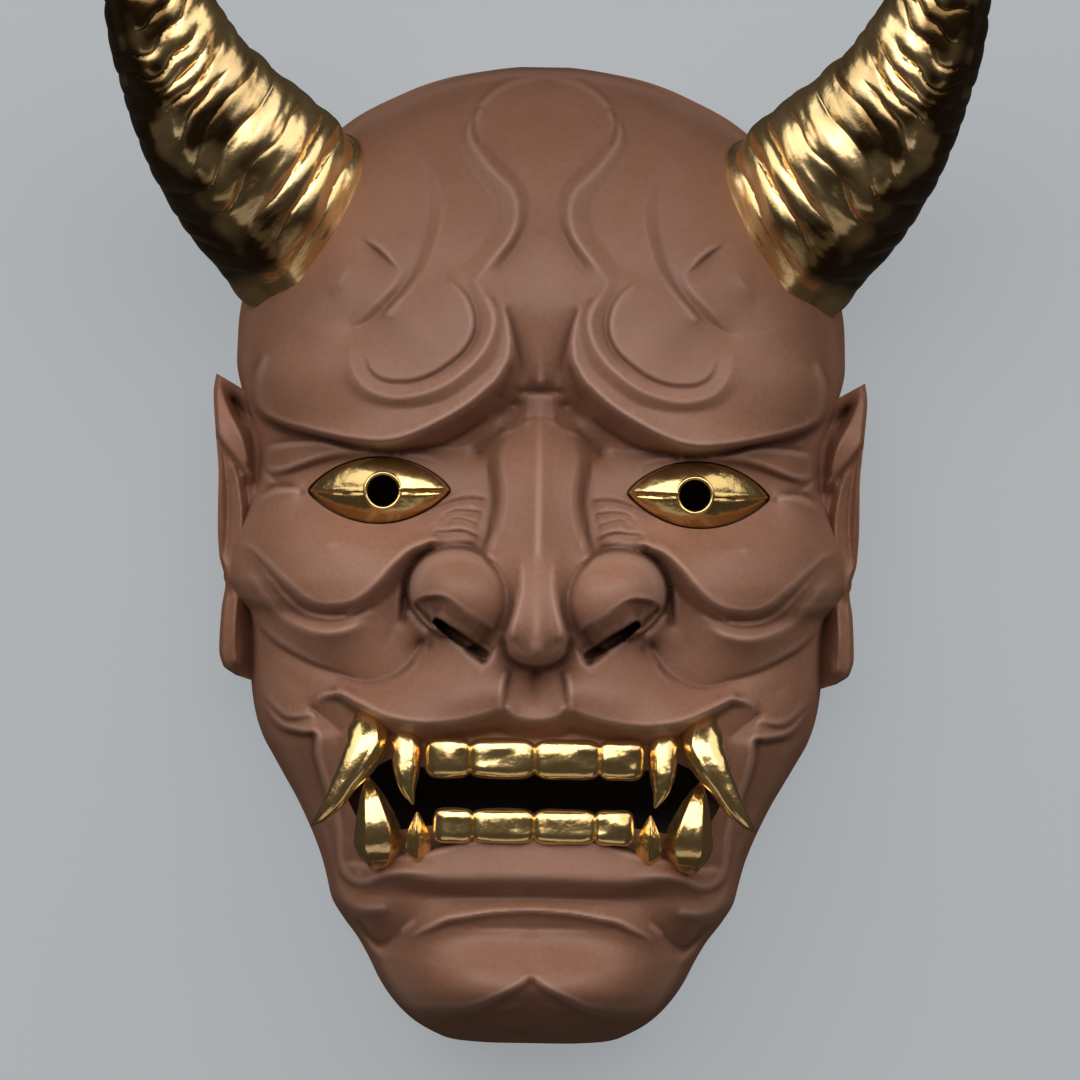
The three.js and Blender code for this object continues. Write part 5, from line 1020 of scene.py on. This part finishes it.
wear_and_shade_attributes(shell)
finish_piece(shell, "carved_shell", "mask_shell", wood, 50)
hl = horn(); hrn = mirrored(hl, "h2")
finish_piece(hl, "horn_left_gilt", "horn_left", gilt_horn, 60)
finish_piece(hrn, "horn_right_gilt", "horn_right", gilt_horn, 60)
el = eye_plate(); er = mirrored(el, "e2")
finish_piece(el, "eye_left_plate", "eye_left", gilt_eye)
finish_piece(er, "eye_right_plate", "eye_right", gilt_eye)
finish_piece(tooth_row(-50.4, 4.7, 7.5, 4.9, 8, 5.0), "teeth_upper_row", "teeth_upper", gilt_tooth, 60)
finish_piece(tooth_row(-66.0, 4.15, 7.1, 4.25, 7.5, 25.0), "teeth_lower_row", "teeth_lower", gilt_tooth, 60)
for nm, st, row_, seed, fac, turn in (("tusk_upper", TUSK, 38, 3.0, 0, 0), ("fang_upper", FANG_UP, GUM_ROW, 13.0, 0, 0),
                                      ("fang_lower", FANG_LOW, GUM_ROW, 23.0, 6, 0), ("tooth_lower", TOOTH_LOW, GUM_ROW, 33.0, 4, math.pi / 2)):
    t_l = station_tube(nm, st, row_, 90, 72, dents(seed, .03, fac, turn))
    t_r = mirrored(t_l, nm + "2")
    finish_piece(t_l, nm + "_left_gilt", nm + "_left", gilt_tooth, 60)
    finish_piece(t_r, nm + "_right_gilt", nm + "_right", gilt_tooth, 60)

# ---------------------------------------------------------------- floor, light, camera
bpy.ops.mesh.primitive_plane_add(size=6)
floor = bpy.context.object
floor.name = "floor"
fm, fnt, fp = mat("floor")
fn_ = node(fnt, "ShaderNodeTexNoise", Scale=5.0, Detail=2.0)
fr = node(fnt, "ShaderNodeValToRGB")
fr.color_ramp.elements[0].color = (.135, .142, .148, 1); fr.color_ramp.elements[1].color = (.145, .152, .158, 1)
fnt.links.new(fn_.outputs["Fac"], fr.inputs["Fac"]); fnt.links.new(fr.outputs["Color"], fp.inputs["Base Color"])
fp.inputs["Roughness"].default_value = .95
fp.inputs["Specular IOR Level"].default_value = .0
# a lit table: it glows evenly, except in an oval under the mask where the glow is turned off, a painted shadow seen
# through the eyes and mouth
fc = node(fnt, "ShaderNodeTexCoord")
fv = node(fnt, "ShaderNodeMapping")
fv.inputs["Location"].default_value = (0, .02 / .098, 0)
fv.inputs["Scale"].default_value = (1 / .056, 1 / .098, 1)
fl = node(fnt, "ShaderNodeVectorMath", operation='LENGTH')
# painted shadow: no glow inside the oval under the mask
painted_shadow_ramp = node(fnt, "ShaderNodeMapRange")
painted_shadow_ramp.inputs["From Min"].default_value = .92; painted_shadow_ramp.inputs["From Max"].default_value = 1.05
painted_shadow_ramp.inputs["To Min"].default_value = 0; painted_shadow_ramp.inputs["To Max"].default_value = 1
fnt.links.new(fc.outputs["Object"], fv.inputs["Vector"]); fnt.links.new(fv.outputs["Vector"], fl.inputs[0])
fnt.links.new(fl.outputs["Value"], painted_shadow_ramp.inputs["Value"]); fnt.links.new(painted_shadow_ramp.outputs["Result"], fp.inputs["Emission Strength"])
fp.inputs["Emission Color"].default_value = (.300, .318, .332, 1)
floor.data.materials.append(fm)
floor.visible_glossy = False
floor.visible_diffuse = False


def area(name, loc, target, size, power, color=(1, 1, 1)):
    d = bpy.data.lights.new(name, "AREA")
    d.shape = 'RECTANGLE'; d.size, d.size_y = size
    d.energy = power; d.color = color
    o = bpy.data.objects.new(name, d)
    bpy.context.scene.collection.objects.link(o)
    o.location = loc
    o.rotation_euler = (Vector(target) - Vector(loc)).to_track_quat('-Z', 'Y').to_euler()
    return o


area("key_top", (-.10, .66, 1.38), (0, 0, .03), (2.1, 1.0), 20.3)
area("side_left", (-.98, .78, .62), (0, .03, .03), (1.15, 1.5), 8.3)
area("side_right", (.98, .78, .62), (0, .03, .03), (1.15, 1.5), 7.8)
area("low", (0, -1.25, .80), (0, -.03, .03), (2.4, .7), 2.4)
w = bpy.data.worlds.new("studio")
bpy.context.scene.world = w
w.use_nodes = True
bg = w.node_tree.nodes["Background"]
bg.inputs[0].default_value = (1, .86, .70, 1)
bg.inputs[1].default_value = .04

cam = bpy.data.cameras.new("camera")
cam.sensor_width = 36
cam.lens = 36 * 1400 / (1080 * UNIT)
cam.clip_start, cam.clip_end = .05, 20
co = bpy.data.objects.new("camera", cam)
bpy.context.scene.collection.objects.link(co)
co.location = (.0004, -MID_Y * .001, 1.4)
co.rotation_euler = (0, 0, ROLL)
bpy.context.scene.camera = co
bpy.context.scene.view_settings.view_transform = 'Standard'
bpy.context.scene.view_settings.look = 'None'
